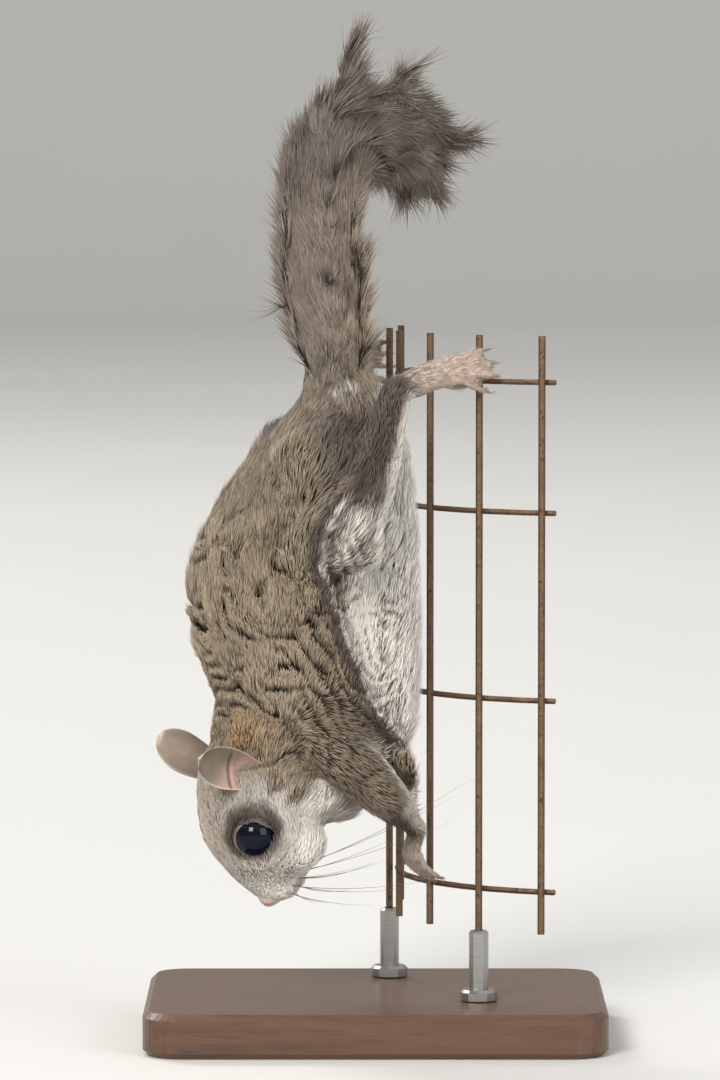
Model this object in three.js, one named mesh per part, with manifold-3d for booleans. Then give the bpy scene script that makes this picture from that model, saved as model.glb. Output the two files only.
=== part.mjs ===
// A southern flying squirrel, life size, climbing head down on a short cut length of a wire cage.
// The cage stands on two rods and a flat base. Millimetres, +Z up, origin under the middle of the base.
import * as THREE from "three";
import { mergeVertices } from "three/addons/utils/BufferGeometryUtils.js";
import Module from "manifold-3d";

const wasm = await Module();
wasm.setup();

// Driving dimensions of the stand and the wire cage
const BASE = { wide: 104, deep: 80, high: 10, corner: 9, bevel: 1.4 };
const ROD = { radius: 2.2, collar: 4.2, collarHigh: 2.4, top: 26, socket: 5 };
const CAGE = { radius: 50, upright: 0.8, hoop: 0.7, low: 21.5, high: 160 };
const UPRIGHT_ANGLES = [-45, -27, -9, 9, 27, 45];
const ROD_ANGLES = [-27, 27];
const HOOP_HEIGHTS = [35.3, 78.3, 120.4, 149.6];
const HOOP_END_ANGLE = 48;
const GAP = 0.3;

// The cage's axis stands off the middle of the base, and the animal's belly faces that axis.
const CAGE_AXIS = { x: 53.3, y: 24 };
const TURN = THREE.MathUtils.degToRad(26);

// In the animal's own frame the cage's axis is x = 0 and z runs from the base upwards.
// x points from the back to the belly, and the left side of the body is y < 0.
// A trunk row holds the back's x and z, the belly's x and z, and half the width.
const TORSO_ROWS = [
  [-84, 60, -63, 56.5, 10],
  [-94, 69, -55, 63, 18],
  [-98, 78.5, -52, 73, 21],
  [-102, 88, -51.3, 84, 22.5],
  [-104.2, 97.5, -51.4, 96, 23.5],
  [-103.4, 107, -52, 108, 24.5],
  [-99.8, 117, -53, 119, 24.5],
  [-93, 127, -54, 129, 22.5],
  [-84.5, 136.5, -56, 138, 18.5],
  [-77.2, 144.5, -60, 146, 12],
];
const NECK_ROWS = [
  [-97, 85, -57, 68, 17.5],
  [-99, 77, -58, 57.5, 17],
  [-99.6, 70, -66, 51, 15.2],
  [-100, 62.5, -74, 47.5, 14],
  [-97, 56.5, -79, 48, 11],
];
// Head rows run from the back of the skull to the nose.
const HEAD_ROWS = [
  [-99, 69.5, -84.5, 67.5, 8.6],
  [-101.4, 64.5, -81.5, 63, 11.8],
  [-102.4, 59.4, -79, 58, 13.2],
  [-102.4, 54.2, -77, 52.6, 13.7],
  [-101.4, 49.6, -75.6, 48.2, 13.6],
  [-99.9, 45.6, -74.9, 44.6, 12.9],
  [-98, 42.2, -75.3, 41.6, 11.2],
  [-95.9, 39.4, -76.6, 39.2, 9.1],
  [-93.4, 36.8, -78.2, 36.9, 6.9],
  [-90.7, 34.6, -80.2, 34.7, 4.9],
  [-88.2, 32.8, -82.6, 33.2, 3.1],
];
const HEAD_DOME = 1.9;

const EYE = { x: -93.2, y: 8, z: 48.5, radius: 5.1 };
const LID = { radius: 4.55, thick: 0.62 };
const EYE_AXIS = new THREE.Vector3(-0.38, -0.9, -0.2).normalize();

const EAR = { long: 15.8, wide: 9.6, thick: 0.9, cup: 2.6 };
const EAR_ROOT = { x: -95.6, y: 9.4, z: 62.6 };

// Landmarks of the limbs, left ones first. The right hand holds an upright higher up than the left.
const LEFT = {
  sign: -1,
  name: "left",
  shoulder: [-79, -14, 71],
  elbow: [-69, -24, 58],
  wrist: [-54.6, -11.8, 48.4],
  hip: [-79, -12, 131],
  knee: [-80.5, -28, 114],
  ankle: [-66, -24.2, 147.8],
  gripAngle: 9,
  gripHigh: 36.4,
  earTip: [-13.8, 2, 4.4],
};
const RIGHT = {
  sign: 1,
  name: "right",
  shoulder: [-79, 14, 72],
  elbow: [-74, 25, 62],
  wrist: [-56, 23.6, 72],
  hip: [-77, 12, 131],
  knee: [-71, 24.5, 116],
  ankle: [-66, 24.2, 147.8],
  gripAngle: 27,
  gripHigh: 61,
  earTip: [-12.6, -1.4, 7],
};
const LIMB_RADII = {
  shoulder: 9,
  elbow: 5.6,
  wrist: 2.5,
  hip: 12,
  knee: 8.2,
  shank: 6.4,
  ankle: 3.8,
};
const FINGERS = { count: 4, radius: 1.05, spread: 2.3, long: 7 };
const TOES = { radius: 1.15, tipAngles: [23.6, 29.6, 32.2, 31.8, 29.4] };
const TOE_TIPS_HIGH = [148.4, 147.6, 151, 153.9, 156.6];
const TOE_BASES_HIGH = [149.6, 150.7, 152.3, 153.9, 155.3];
const CLAW = { long: 2.4, radius: 0.5 };

// The gliding membrane: points of its free edge along the flank.
// The right one is drawn in closer to the body.
const MEMBRANE_EDGES = {
  left: [
    [-63.5, -22.5, 69],
    [-70.5, -25.6, 75],
    [-77.2, -27, 86],
    [-81.5, -28.4, 97],
    [-87, -31, 107],
    [-89.6, -34.4, 115],
    [-83.6, -34, 123.5],
    [-73.5, -31, 132],
    [-67.5, -27.5, 141],
  ],
  right: [
    [-62.5, 25.2, 76],
    [-68, 26.6, 82],
    [-72.5, 27, 90],
    [-75, 27.6, 99],
    [-77.5, 29, 108],
    [-78.5, 30.5, 116],
    [-75.5, 30.5, 124],
    [-70.5, 29.5, 132],
    [-66.5, 27.5, 141],
  ],
};
const MEMBRANE = { edgeThick: 2.2, rootThick: 2.6, sink: 9 };

// The tail: points of its core, then half its breadth and depth out to the tips of the hair.
// It bends over edgewise, so its flat side keeps facing one way.
const TAIL_POINTS = [
  [-69.5, 0, 143],
  [-70.6, -0.4, 157],
  [-73, -0.8, 171],
  [-73.8, -0.8, 184],
  [-73.2, -0.6, 195],
  [-69, 1.2, 203],
  [-61, 4.6, 205.6],
  [-51.5, 8.6, 204],
  [-43, 12.6, 200],
];
const TAIL_REACH = [
  [7, 6.6],
  [9.2, 6.8],
  [10.6, 6.8],
  [9.8, 6.4],
  [9, 6],
  [9, 6],
  [10.2, 6],
  [10.8, 5.4],
  [9, 4.4],
];
const TAIL_FACE = new THREE.Vector3(-0.64, -0.76, 0);
const TAIL_CUTS = [0.36, 0.6];
const TAIL_CORE = { share: 0.5, endShare: 0.34 };
// Each crest lock: its place on the tail, its middle, its tip and half its width.
const CREST = [
  [0.47, [-75.4, -2, 206], [-69.6, -2, 217.5], 3.8],
  [0.5, [-72, -1, 210], [-65.4, -2, 225.5], 3.2],
  [0.52, [-69, 0, 208], [-64.6, -0.4, 218], 3],
  [0.66, [-58, 5, 212.5], [-47.4, 7, 219], 2.4],
  [0.9, [-42, 13, 203], [-35, 16, 197], 3.4],
  [0.9, [-42, 14, 197], [-36, 17, 191], 3.4],
];
const LOCK = { tiers: 12, ahead: 0.15, wide: 4.4, thick: 1.1 };

const COLOURS = {
  back: 0xa08a6c,
  belly: 0xe6e0d4,
  limb: 0x8c8078,
  tail: 0x94867a,
  ear: 0x8f7d70,
  eye: 0x0b0d18,
  wire: 0x6e5b4c,
  rod: 0x9a9a98,
  base: 0x4a3426,
};

const point = (p) => new THREE.Vector3(...p);
const onCage = (radius, degrees, z) => {
  const a = THREE.MathUtils.degToRad(degrees);
  return new THREE.Vector3(-radius * Math.cos(a), radius * Math.sin(a), z);
};

// The row at t from 0 to 1 on a smooth curve through evenly spaced rows of numbers.
function rowAt(rows, t) {
  const last = rows.length - 1;
  const i = Math.min(Math.floor(t * last), last - 1);
  const f = t * last - i;
  const near = (k) => rows[THREE.MathUtils.clamp(k, 0, last)];
  return rows[i].map((_, c) => {
    const [a, b, d, e] = [i - 1, i, i + 1, i + 2].map((k) => near(k)[c]);
    const bend = (2 * a - 5 * b + 4 * d - e) * f * f;
    const twist = (3 * b - a - 3 * d + e) * f * f * f;
    return 0.5 * (2 * b + (d - a) * f + bend + twist);
  });
}

// A solid from corner points and triangles, turned to face outwards.
function solidFrom(points, triangles) {
  let volume = 0;
  for (const [a, b, c] of triangles)
    volume += points[a].dot(points[b].clone().cross(points[c]));
  const faces = volume < 0 ? triangles.map(([a, b, c]) => [a, c, b]) : triangles;
  const mesh = new wasm.Mesh({
    numProp: 3,
    vertProperties: new Float32Array(points.flatMap((p) => [p.x, p.y, p.z])),
    triVerts: new Uint32Array(faces.flat()),
  });
  return new wasm.Manifold(mesh);
}

// A solid from any closed three.js geometry.
function solidOf(geometry) {
  const bare = geometry.clone();
  for (const name of ["normal", "uv"]) bare.deleteAttribute(name);
  const merged = mergeVertices(bare, 1e-4);
  const { array } = merged.attributes.position;
  const points = Array.from({ length: array.length / 3 }, (_, i) =>
    point(array.slice(3 * i, 3 * i + 3)),
  );
  const index = [...merged.index.array];
  const triangles = Array.from({ length: index.length / 3 }, (_, i) =>
    index.slice(3 * i, 3 * i + 3),
  );
  return solidFrom(
    points,
    triangles.filter(([a, b, c]) => a !== b && b !== c && a !== c),
  );
}

// A closed body swept through oval sections. section(t) gives its centre and its two half axes.
// Each end is closed by a dome that reaches out by domes[0] or domes[1].
function sweep(section, { rings, sides, domes, power = 2, grow = 0, small = false }) {
  const oval = ({ centre, across, deep }, shrink, shift) =>
    Array.from({ length: sides }, (_, k) => {
      const a = (2 * Math.PI * k) / sides;
      const [c, s] = [Math.cos(a), Math.sin(a)].map(
        (w) => Math.sign(w) * Math.abs(w) ** (2 / power) * shrink,
      );
      return centre
        .clone()
        .add(shift)
        .addScaledVector(across, c * (1 + grow / across.length()))
        .addScaledVector(deep, s * (1 + grow / deep.length()));
    });
  const loops = [];
  const zero = new THREE.Vector3();
  const domeSteps = small ? [0.7] : [0.38, 0.72, 0.93];
  const outward = (t, towards) =>
    section(t).centre.clone().sub(section(towards).centre).normalize();
  const [startOut, endOut] = [outward(0, 0.04), outward(1, 0.96)];
  const domed = (t, out, reach, h) =>
    oval(section(t), Math.sqrt(1 - h * h), out.clone().multiplyScalar(reach * h));
  for (const h of [...domeSteps].reverse())
    loops.push(domed(0, startOut, domes[0] + grow, h));
  for (let i = 0; i <= rings; i++) loops.push(oval(section(i / rings), 1, zero));
  for (const h of domeSteps) loops.push(domed(1, endOut, domes[1] + grow, h));
  const points = loops.flat();
  const triangles = [];
  for (let r = 0; r + 1 < loops.length; r++)
    for (let k = 0; k < sides; k++) {
      const [a, b] = [r * sides + k, r * sides + ((k + 1) % sides)];
      triangles.push([a, b, b + sides], [a, b + sides, a + sides]);
    }
  const start = points.length;
  points.push(section(0).centre.clone().addScaledVector(startOut, domes[0] + grow));
  points.push(section(1).centre.clone().addScaledVector(endOut, domes[1] + grow));
  const lastLoop = start - sides;
  for (let k = 0; k < sides; k++) {
    const next = (k + 1) % sides;
    triangles.push([start, next, k], [start + 1, lastLoop + k, lastLoop + next]);
  }
  return solidFrom(points, triangles);
}

// A trunk: ovals between the back and the belly in the middle plane.
function trunk(rows, shape) {
  return sweep((t) => {
    const [backX, backZ, bellyX, bellyZ, half] = rowAt(rows, t);
    return {
      centre: new THREE.Vector3((backX + bellyX) / 2, 0, (backZ + bellyZ) / 2),
      across: new THREE.Vector3((backX - bellyX) / 2, 0, (backZ - bellyZ) / 2),
      deep: new THREE.Vector3(0, half, 0),
    };
  }, shape);
}

// A limb: ovals square to a curve through the points. Radii are [across, deep] or one number,
// and the flat vector says which way the section is widest.
function limb(points, radii, shape, flat = new THREE.Vector3(0, 1, 0)) {
  const curve = new THREE.CatmullRomCurve3(points.map((p) => p.clone()));
  const rows = radii.map((r) => (Array.isArray(r) ? r : [r, r]));
  return sweep((t) => {
    const along = curve.getTangent(t);
    const deepWay = along.clone().cross(flat).normalize();
    const acrossWay = deepWay.clone().cross(along).normalize();
    const [across, deep] = rowAt(rows, t);
    return {
      centre: curve.getPoint(t),
      across: acrossWay.multiplyScalar(across),
      deep: deepWay.multiplyScalar(deep),
    };
  }, shape);
}

// A thin closed sheet. middle(u, v) is its middle surface and thick(u, v) its thickness.
function sheet(middle, thick, long, wide) {
  const faces = [[], []];
  const step = 0.01;
  for (let i = 0; i <= long; i++)
    for (let j = 0; j <= wide; j++) {
      const [u, v] = [i / long, j / wide];
      const alongU = middle(u + step, v).sub(middle(u - step, v));
      const alongV = middle(u, v + step).sub(middle(u, v - step));
      const normal = alongU.cross(alongV).normalize();
      const half = thick(u, v) / 2;
      faces[0].push(middle(u, v).addScaledVector(normal, half));
      faces[1].push(middle(u, v).addScaledVector(normal, -half));
    }
  const other = faces[0].length;
  const at = (i, j) => i * (wide + 1) + j;
  const triangles = [];
  const quad = (a, b, c, d) => triangles.push([a, b, c], [a, c, d]);
  for (let i = 0; i < long; i++)
    for (let j = 0; j < wide; j++) {
      const [a, b, c, d] = [at(i, j), at(i + 1, j), at(i + 1, j + 1), at(i, j + 1)];
      quad(a, b, c, d);
      triangles.push(
        [other + a, other + c, other + b],
        [other + a, other + d, other + c],
      );
    }
  const rim = (a, b) => quad(b, a, other + a, other + b);
  for (let i = 0; i < long; i++) {
    rim(at(i, 0), at(i + 1, 0));
    rim(at(i + 1, wide), at(i, wide));
  }
  for (let j = 0; j < wide; j++) {
    rim(at(0, j + 1), at(0, j));
    rim(at(long, j), at(long, j + 1));
  }
  return solidFrom(faces.flat(), triangles);
}

function ball(centre, [rx, ry, rz], wide = 10, high = 6) {
  const geometry = new THREE.SphereGeometry(1, wide, high);
  return solidOf(geometry.scale(rx, ry, rz).translate(...centre));
}

const join = (solids) => solids.reduce((a, b) => a.add(b));
const cut = (solid, tools) => tools.reduce((a, b) => a.subtract(b), solid);

// A body's node keeps its largest closed surface only.
function largest(solid) {
  const bodies = solid.decompose();
  return bodies.reduce((a, b) => (b.volume() > a.volume() ? b : a));
}

function makeTorso(grow = 0) {
  const shape = { rings: 11, sides: 20, domes: [3.5, 3.5], power: 2.25, grow };
  return trunk(TORSO_ROWS, shape);
}

function makeNeck(grow = 0) {
  const shape = { rings: 5, sides: 18, domes: [2, 2], power: 2.1, grow, small: true };
  return trunk(NECK_ROWS, shape);
}

function makeSkull(grow = 0) {
  const shape = { rings: 11, sides: 20, domes: [3.4, HEAD_DOME], power: 2.1, grow, small: true };
  return trunk(HEAD_ROWS, shape);
}

function makeCheeks(grow = 0) {
  const radii = [7.6, 6, 7.2].map((r) => r + grow);
  return [-1, 1].map((sign) => ball([-83, sign * 7.6, 46], radii, 12, 7));
}

const eyeCentre = (sign) => point([EYE.x, sign * EYE.y, EYE.z]);

function makeEye(sign, grow = 0) {
  const r = EYE.radius + grow;
  return ball(eyeCentre(sign).toArray(), [r, r, r], 14, 8);
}

// A lid is a raised ring round the eye, square to the way the eye looks.
function makeLid(sign) {
  const axis = EYE_AXIS.clone().setY(-sign * EYE_AXIS.y);
  const out = Math.sqrt(EYE.radius ** 2 - LID.radius ** 2);
  const turn = new THREE.Quaternion().setFromUnitVectors(
    new THREE.Vector3(0, 0, 1),
    axis,
  );
  const at = eyeCentre(sign).addScaledVector(axis, out);
  const ring = new THREE.TorusGeometry(LID.radius + 0.2, LID.thick, 4, 14);
  return solidOf(ring.applyQuaternion(turn).translate(at.x, at.y, at.z));
}

// The muzzle carries the nose pad, two whisker pads and the chin. A groove parts the lips.
function makeHead() {
  const nosePad = ball([-86, 0, 32.3], [2.5, 2.3, 1.9]);
  const chin = ball([-79.6, 0, 36.6], [2.6, 3, 2.2]);
  const pads = [-1, 1].map((sign) => ball([-84, sign * 3.1, 36], [4.4, 3.2, 3.6]));
  const lids = [-1, 1].map(makeLid);
  const whole = join([makeSkull(), nosePad, chin, ...pads, ...makeCheeks(), ...lids]);
  const lipLine = [
    [-79, -9, 41.4],
    [-79.6, -6.8, 38.2],
    [-81.2, -3.4, 34.4],
    [-81.6, 0, 32.6],
    [-81.2, 3.4, 34.4],
    [-79.6, 6.8, 38.2],
    [-79, 9, 41.4],
  ].map(point);
  const groove = limb(
    lipLine,
    [
      [0.3, 1.5],
      [0.3, 1.5],
    ],
    { rings: 8, sides: 4, domes: [0.2, 0.2], small: true },
    new THREE.Vector3(1, 0, 0.2),
  );
  const nostrils = [-1, 1].map((s) => ball([-85.4, s * 1.5, 30.9], [0.9, 0.55, 0.9]));
  const eyes = [-1, 1].map((sign) => makeEye(sign, GAP));
  return largest(cut(whole, [groove, ...nostrils, ...eyes]));
}

// An ear is a thin cup: its rims stand out to the side of a hollow middle.
function makeEar(side) {
  const root = point([EAR_ROOT.x, side.sign * EAR_ROOT.y, EAR_ROOT.z]);
  const along = point([side.earTip[0], -side.sign * side.earTip[1], side.earTip[2]]);
  along.normalize();
  const out = new THREE.Vector3(0, side.sign, -0.25).normalize();
  const acrossWay = along.clone().cross(out).normalize();
  const outWay = acrossWay.clone().cross(along).normalize();
  const width = (u) => {
    const round = Math.sqrt(Math.max(0.02, 1 - Math.max(0, (u - 0.52) / 0.5) ** 2));
    return (EAR.wide / 2) * round * (0.66 + 0.34 * Math.sin((Math.PI * Math.min(u, 0.6)) / 1.2));
  };
  const middle = (u, v) => {
    const w = 2 * v - 1;
    const hollow = EAR.cup * (1.15 - 0.75 * u) * (1 - w * w);
    return root
      .clone()
      .addScaledVector(along, EAR.long * u - 1.5)
      .addScaledVector(acrossWay, width(THREE.MathUtils.clamp(u, 0, 1)) * w)
      .addScaledVector(outWay, 1.6 - hollow);
  };
  const thick = (u) => EAR.thick * (1.35 - 0.55 * u);
  return sheet(middle, thick, 8, 5);
}

// A digit arches from its base to its tip and ends in a claw that hooks in towards the cage.
function digit(base, tip, radius, inwardHook) {
  const outward = new THREE.Vector3(tip.x, tip.y, 0).normalize();
  const knuckle = base.clone().lerp(tip, 0.55).addScaledVector(outward, 1.1);
  const finger = limb(
    [base, knuckle, tip],
    [radius * 1.05, radius, radius * 0.82],
    { rings: 2, sides: 5, domes: [0.6, 0.7], small: true },
    new THREE.Vector3(0.3, 0.4, 1),
  );
  const way = tip.clone().sub(knuckle).normalize();
  const clawEnd = tip
    .clone()
    .addScaledVector(way, CLAW.long * 0.62)
    .addScaledVector(outward, -CLAW.long * inwardHook);
  const clawBend = tip.clone().addScaledVector(way, CLAW.long * 0.5);
  const claw = limb(
    [tip.clone().addScaledVector(way, -0.5), clawBend, clawEnd],
    [CLAW.radius, CLAW.radius * 0.8, 0.14],
    { rings: 1, sides: 4, domes: [0.1, 0.1], small: true },
    new THREE.Vector3(0.3, 0.4, 1),
  );
  return finger.add(claw);
}

const armParts = {
  upper: (side, grow = 0) =>
    limb(
      [point(side.shoulder), point(side.elbow)],
      [LIMB_RADII.shoulder, LIMB_RADII.elbow],
      { rings: 3, sides: 12, domes: [5, 4.5], grow, small: true },
      new THREE.Vector3(0, 0.2, 1),
    ),
  fore: (side, grow = 0) =>
    limb(
      [point(side.elbow), point(side.wrist)],
      [LIMB_RADII.elbow * 0.94, LIMB_RADII.wrist],
      { rings: 3, sides: 12, domes: [4, 1.4], grow, small: true },
      new THREE.Vector3(0, 0.2, 1),
    ),
};

function makeHand(side) {
  const { gripAngle, gripHigh, sign } = side;
  const palmEnd = onCage(55.4, sign * gripAngle, gripHigh + FINGERS.long * 0.86);
  const palm = limb(
    [point(side.wrist), palmEnd],
    [
      [2.3, 2.1],
      [3.3, 1.8],
    ],
    { rings: 4, sides: 10, domes: [1.2, 1.2] },
    new THREE.Vector3(0.1, 1, 0.1),
  );
  const fingers = Array.from({ length: FINGERS.count }, (_, k) => {
    const place = k - (FINGERS.count - 1) / 2;
    const base = onCage(
      55.2,
      sign * (gripAngle + place * 1.9),
      palmEnd.z - 0.3 + 0.3 * Math.abs(place),
    );
    const far = Math.abs(place) > 1 ? 0.9 : 0;
    const tip = onCage(50.5, sign * (gripAngle + place * FINGERS.spread), gripHigh + far);
    return digit(base, tip, FINGERS.radius, 0.55);
  });
  return join([palm, ...fingers]);
}

const legParts = {
  thigh: (side, grow = 0) =>
    limb(
      [point(side.hip), point(side.knee)],
      [LIMB_RADII.hip, LIMB_RADII.knee],
      { rings: 4, sides: 14, domes: [8, 6.5], grow },
      new THREE.Vector3(1, 0, 0),
    ),
  shank: (side, grow = 0) => {
    const [knee, ankle] = [point(side.knee), point(side.ankle)];
    const calf = knee.clone().lerp(ankle, 0.45).add(new THREE.Vector3(0.6, 0, 0.6));
    return limb(
      [knee, calf, ankle],
      [LIMB_RADII.knee * 0.9, LIMB_RADII.shank, LIMB_RADII.ankle],
      { rings: 5, sides: 12, domes: [6, 2.4], grow },
      new THREE.Vector3(1, 0, 0),
    );
  },
};

function makeFoot(side) {
  const { sign } = side;
  const ankle = point(side.ankle);
  const heel = ankle.clone().add(new THREE.Vector3(-2.6, -sign * 1.4, -1.8));
  const padCentre = point([-51.4, sign * 26.2, 152.8]);
  const arch = ankle.clone().lerp(padCentre, 0.52).add(new THREE.Vector3(0, 0, 0.7));
  const sole = limb(
    [heel, ankle, arch, padCentre],
    [
      [2.4, 2.2],
      [3.4, 2.8],
      [3.5, 2.2],
      [3.9, 1.8],
    ],
    { rings: 4, sides: 10, domes: [1.6, 1.3], small: true },
    new THREE.Vector3(0, 0, 1),
  );
  const toes = TOES.tipAngles.map((angle, k) => {
    const first = k === 0;
    const base = first
      ? point([-55.4, sign * 25.4, TOE_BASES_HIGH[k]])
      : point([-51.4, sign * 26.4, TOE_BASES_HIGH[k]]);
    const tip = onCage(first ? 52.6 : 51.7, sign * angle, TOE_TIPS_HIGH[k]);
    return digit(base, tip, TOES.radius, first ? 0.3 : 0.55);
  });
  return join([sole, ...toes]);
}

// The membrane hangs from the flank between the wrist and the ankle. Its root is sunk in the body.
function makeMembrane(side) {
  const { sign } = side;
  const freeEdge = MEMBRANE_EDGES[side.name].map(point);
  const edgePoints = [
    point(side.wrist).add(new THREE.Vector3(-1.5, sign * 2.2, 3)),
    point(side.wrist).lerp(freeEdge[0], 0.5).add(new THREE.Vector3(1.2, sign * 1.6, 1)),
    ...freeEdge,
    point(side.ankle).add(new THREE.Vector3(0.6, sign * 1.4, -2.5)),
  ];
  const edge = new THREE.CatmullRomCurve3(edgePoints);
  const inner = new THREE.CatmullRomCurve3(
    edgePoints.map((p, k) => {
      const share = k / (edgePoints.length - 1);
      const middle = Math.sin(Math.PI * Math.min(1, share * 1.05));
      const root = p.clone();
      root.y -= sign * (2 + MEMBRANE.sink * middle);
      root.x -= 3.4 * middle + 1.4;
      return root;
    }),
  );
  const at = (u) => THREE.MathUtils.clamp(u, 0, 1);
  const middle = (u, v) => inner.getPoint(at(u)).lerp(edge.getPoint(at(u)), v);
  const thick = (u, v) => THREE.MathUtils.lerp(MEMBRANE.rootThick, MEMBRANE.edgeThick, v);
  return sheet(middle, thick, 22, 2);
}

// The place t along the tail: its centre, its way, its two side ways and how far the hair reaches.
const tailCurve = new THREE.CatmullRomCurve3(TAIL_POINTS.map(point));
function tailAt(t) {
  const s = Math.min(t, 1);
  const along = tailCurve.getTangent(s);
  const centre = tailCurve.getPoint(s).addScaledVector(along, (t - s) * 90);
  const thinWay = TAIL_FACE.clone().addScaledVector(along, -TAIL_FACE.dot(along));
  thinWay.normalize();
  const broadWay = along.clone().cross(thinWay);
  const [broad, thin] = rowAt(TAIL_REACH, s);
  return { along, centre, thinWay, broadWay, broad, thin };
}

// The tail's core is an oval rod that narrows to its end.
function makeTailCore(t0, t1) {
  const section = (t) => {
    const s = THREE.MathUtils.lerp(t0, t1, t);
    const { centre, thinWay, broadWay, broad, thin } = tailAt(s);
    const share = THREE.MathUtils.lerp(TAIL_CORE.share, TAIL_CORE.endShare, s ** 3);
    return {
      centre,
      across: broadWay.multiplyScalar(broad * share),
      deep: thinWay.multiplyScalar(thin * share * 1.25),
    };
  };
  const domes = [0.01, t1 === 1 ? 3 : 0.01];
  return sweep(section, { rings: Math.ceil(20 * (t1 - t0)), sides: 10, domes, small: true });
}

// A lock of hair: flat, tapered, bent from its root in the core through middle to its tip.
function makeLock(t, middle, tip, wide) {
  const { centre, thinWay } = tailAt(t);
  const start = centre.clone().lerp(middle, 0.3);
  const path = new THREE.QuadraticBezierCurve3(start, middle, tip);
  const section = (u) => {
    const across = path.getTangent(u).cross(thinWay).normalize();
    const deep = across.clone().cross(path.getTangent(u)).normalize();
    const taper = (0.6 + 0.9 * u) * (1 - u ** 2.4) + 0.06;
    return {
      centre: path.getPoint(u),
      across: across.multiplyScalar(wide * taper),
      deep: deep.multiplyScalar(LOCK.thick * (1 - 0.72 * u)),
    };
  };
  return sweep(section, { rings: 3, sides: 4, domes: [0.3, 0.5], small: true });
}

// A lock that follows the tail: its tip is at broad and thin shares of the hair's reach.
function lyingLock(t, [broadShare, thinShare], ahead, wide) {
  const place = (at, share) =>
    at.centre
      .clone()
      .addScaledVector(at.broadWay, at.broad * broadShare * share)
      .addScaledVector(at.thinWay, at.thin * thinShare * share);
  const middle = place(tailAt(t + ahead * 0.42), 0.78);
  return makeLock(t, middle, place(tailAt(t + ahead), 1), wide);
}

// Locks in tiers: each tier has one at both edges and one on a flat side, in turn.
function tailLocks(t0, t1) {
  const locks = [];
  for (let k = 0; k < LOCK.tiers; k++) {
    const t = 0.01 + (0.9 * k) / (LOCK.tiers - 1);
    if (t < t0 || t >= t1) continue;
    const uneven = 0.5 + 0.5 * Math.sin(k * 2.4);
    const ahead = LOCK.ahead * (0.9 + 0.25 * uneven);
    const [side, lean] = k % 2 ? [1, 0.3] : [-1, -0.3];
    locks.push(
      lyingLock(t, [1.04 - 0.08 * uneven, 0.12], ahead, LOCK.wide),
      lyingLock(t + 0.03, [-0.96 - 0.08 * uneven, -0.12], ahead, LOCK.wide),
      lyingLock(t + 0.015, [lean, 0.9 * side], ahead, LOCK.wide * 1.2),
    );
  }
  return locks;
}

// Two tufts stand up where the tail turns over, and a few longer locks make its end.
function crestLocks(t0, t1) {
  return CREST.filter(([t]) => t >= t0 && t < t1).map(([t, middle, tip, wide]) =>
    makeLock(t, point(middle), point(tip), wide),
  );
}

// Two blocks square to the tail at t, one before and one after, half the gap away from it.
function tailHalf(t) {
  const turn = new THREE.Quaternion().setFromUnitVectors(
    new THREE.Vector3(0, 0, 1),
    tailCurve.getTangent(t),
  );
  const at = tailCurve.getPoint(t);
  const block = (shift) => {
    const box = new THREE.BoxGeometry(70, 70, 60).translate(0, 0, shift);
    return solidOf(box.applyQuaternion(turn).translate(at.x, at.y, at.z));
  };
  return { before: block(-30 + GAP / 2), after: block(30 - GAP / 2) };
}

// The wire cage: uprights outside, hoops inside them.
function makeUpright(degrees, grow = 0) {
  const low = ROD_ANGLES.includes(degrees) ? CAGE.low : ROD.top;
  const radius = CAGE.upright + grow;
  const wire = new THREE.CylinderGeometry(radius, radius, CAGE.high - low, 6);
  wire.rotateX(Math.PI / 2).translate(0, 0, (CAGE.high + low) / 2);
  const at = onCage(CAGE.radius, degrees, 0);
  return solidOf(wire.translate(at.x, at.y, 0));
}

function makeHoop(height, grow = 0) {
  const radius = CAGE.radius - CAGE.upright - CAGE.hoop - GAP;
  const section = (t) => {
    const degrees = THREE.MathUtils.lerp(-HOOP_END_ANGLE, HOOP_END_ANGLE, t);
    const centre = onCage(radius, degrees, height);
    const outWay = new THREE.Vector3(centre.x, centre.y, 0).setLength(CAGE.hoop);
    return { centre, across: outWay, deep: new THREE.Vector3(0, 0, CAGE.hoop) };
  };
  return sweep(section, { rings: 10, sides: 6, domes: [0.3, 0.3], grow, small: true });
}

// The space the wires need, to cut the paws that hold them.
const cageSpace = [
  ...UPRIGHT_ANGLES.map((degrees) => makeUpright(degrees, GAP)),
  ...HOOP_HEIGHTS.map((height) => makeHoop(height, GAP)),
];

// A rod with a collar at its foot and a drilled top that takes the end of an upright.
function makeRod(degrees) {
  const foot = BASE.high + GAP;
  const drill = CAGE.upright + GAP;
  const profile = [
    [0, foot],
    [ROD.collar, foot],
    [ROD.collar, foot + ROD.collarHigh - 0.6],
    [ROD.collar - 0.6, foot + ROD.collarHigh],
    [ROD.radius, foot + ROD.collarHigh],
    [ROD.radius, ROD.top - 0.5],
    [ROD.radius - 0.5, ROD.top],
    [drill, ROD.top],
    [drill, ROD.top - ROD.socket],
    [0, ROD.top - ROD.socket],
  ].map(([r, z]) => new THREE.Vector2(r, z));
  const at = onCage(CAGE.radius, degrees, 0);
  const rod = new THREE.LatheGeometry(profile, 12).rotateX(Math.PI / 2);
  return solidOf(rod.translate(at.x, at.y, 0));
}

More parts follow.
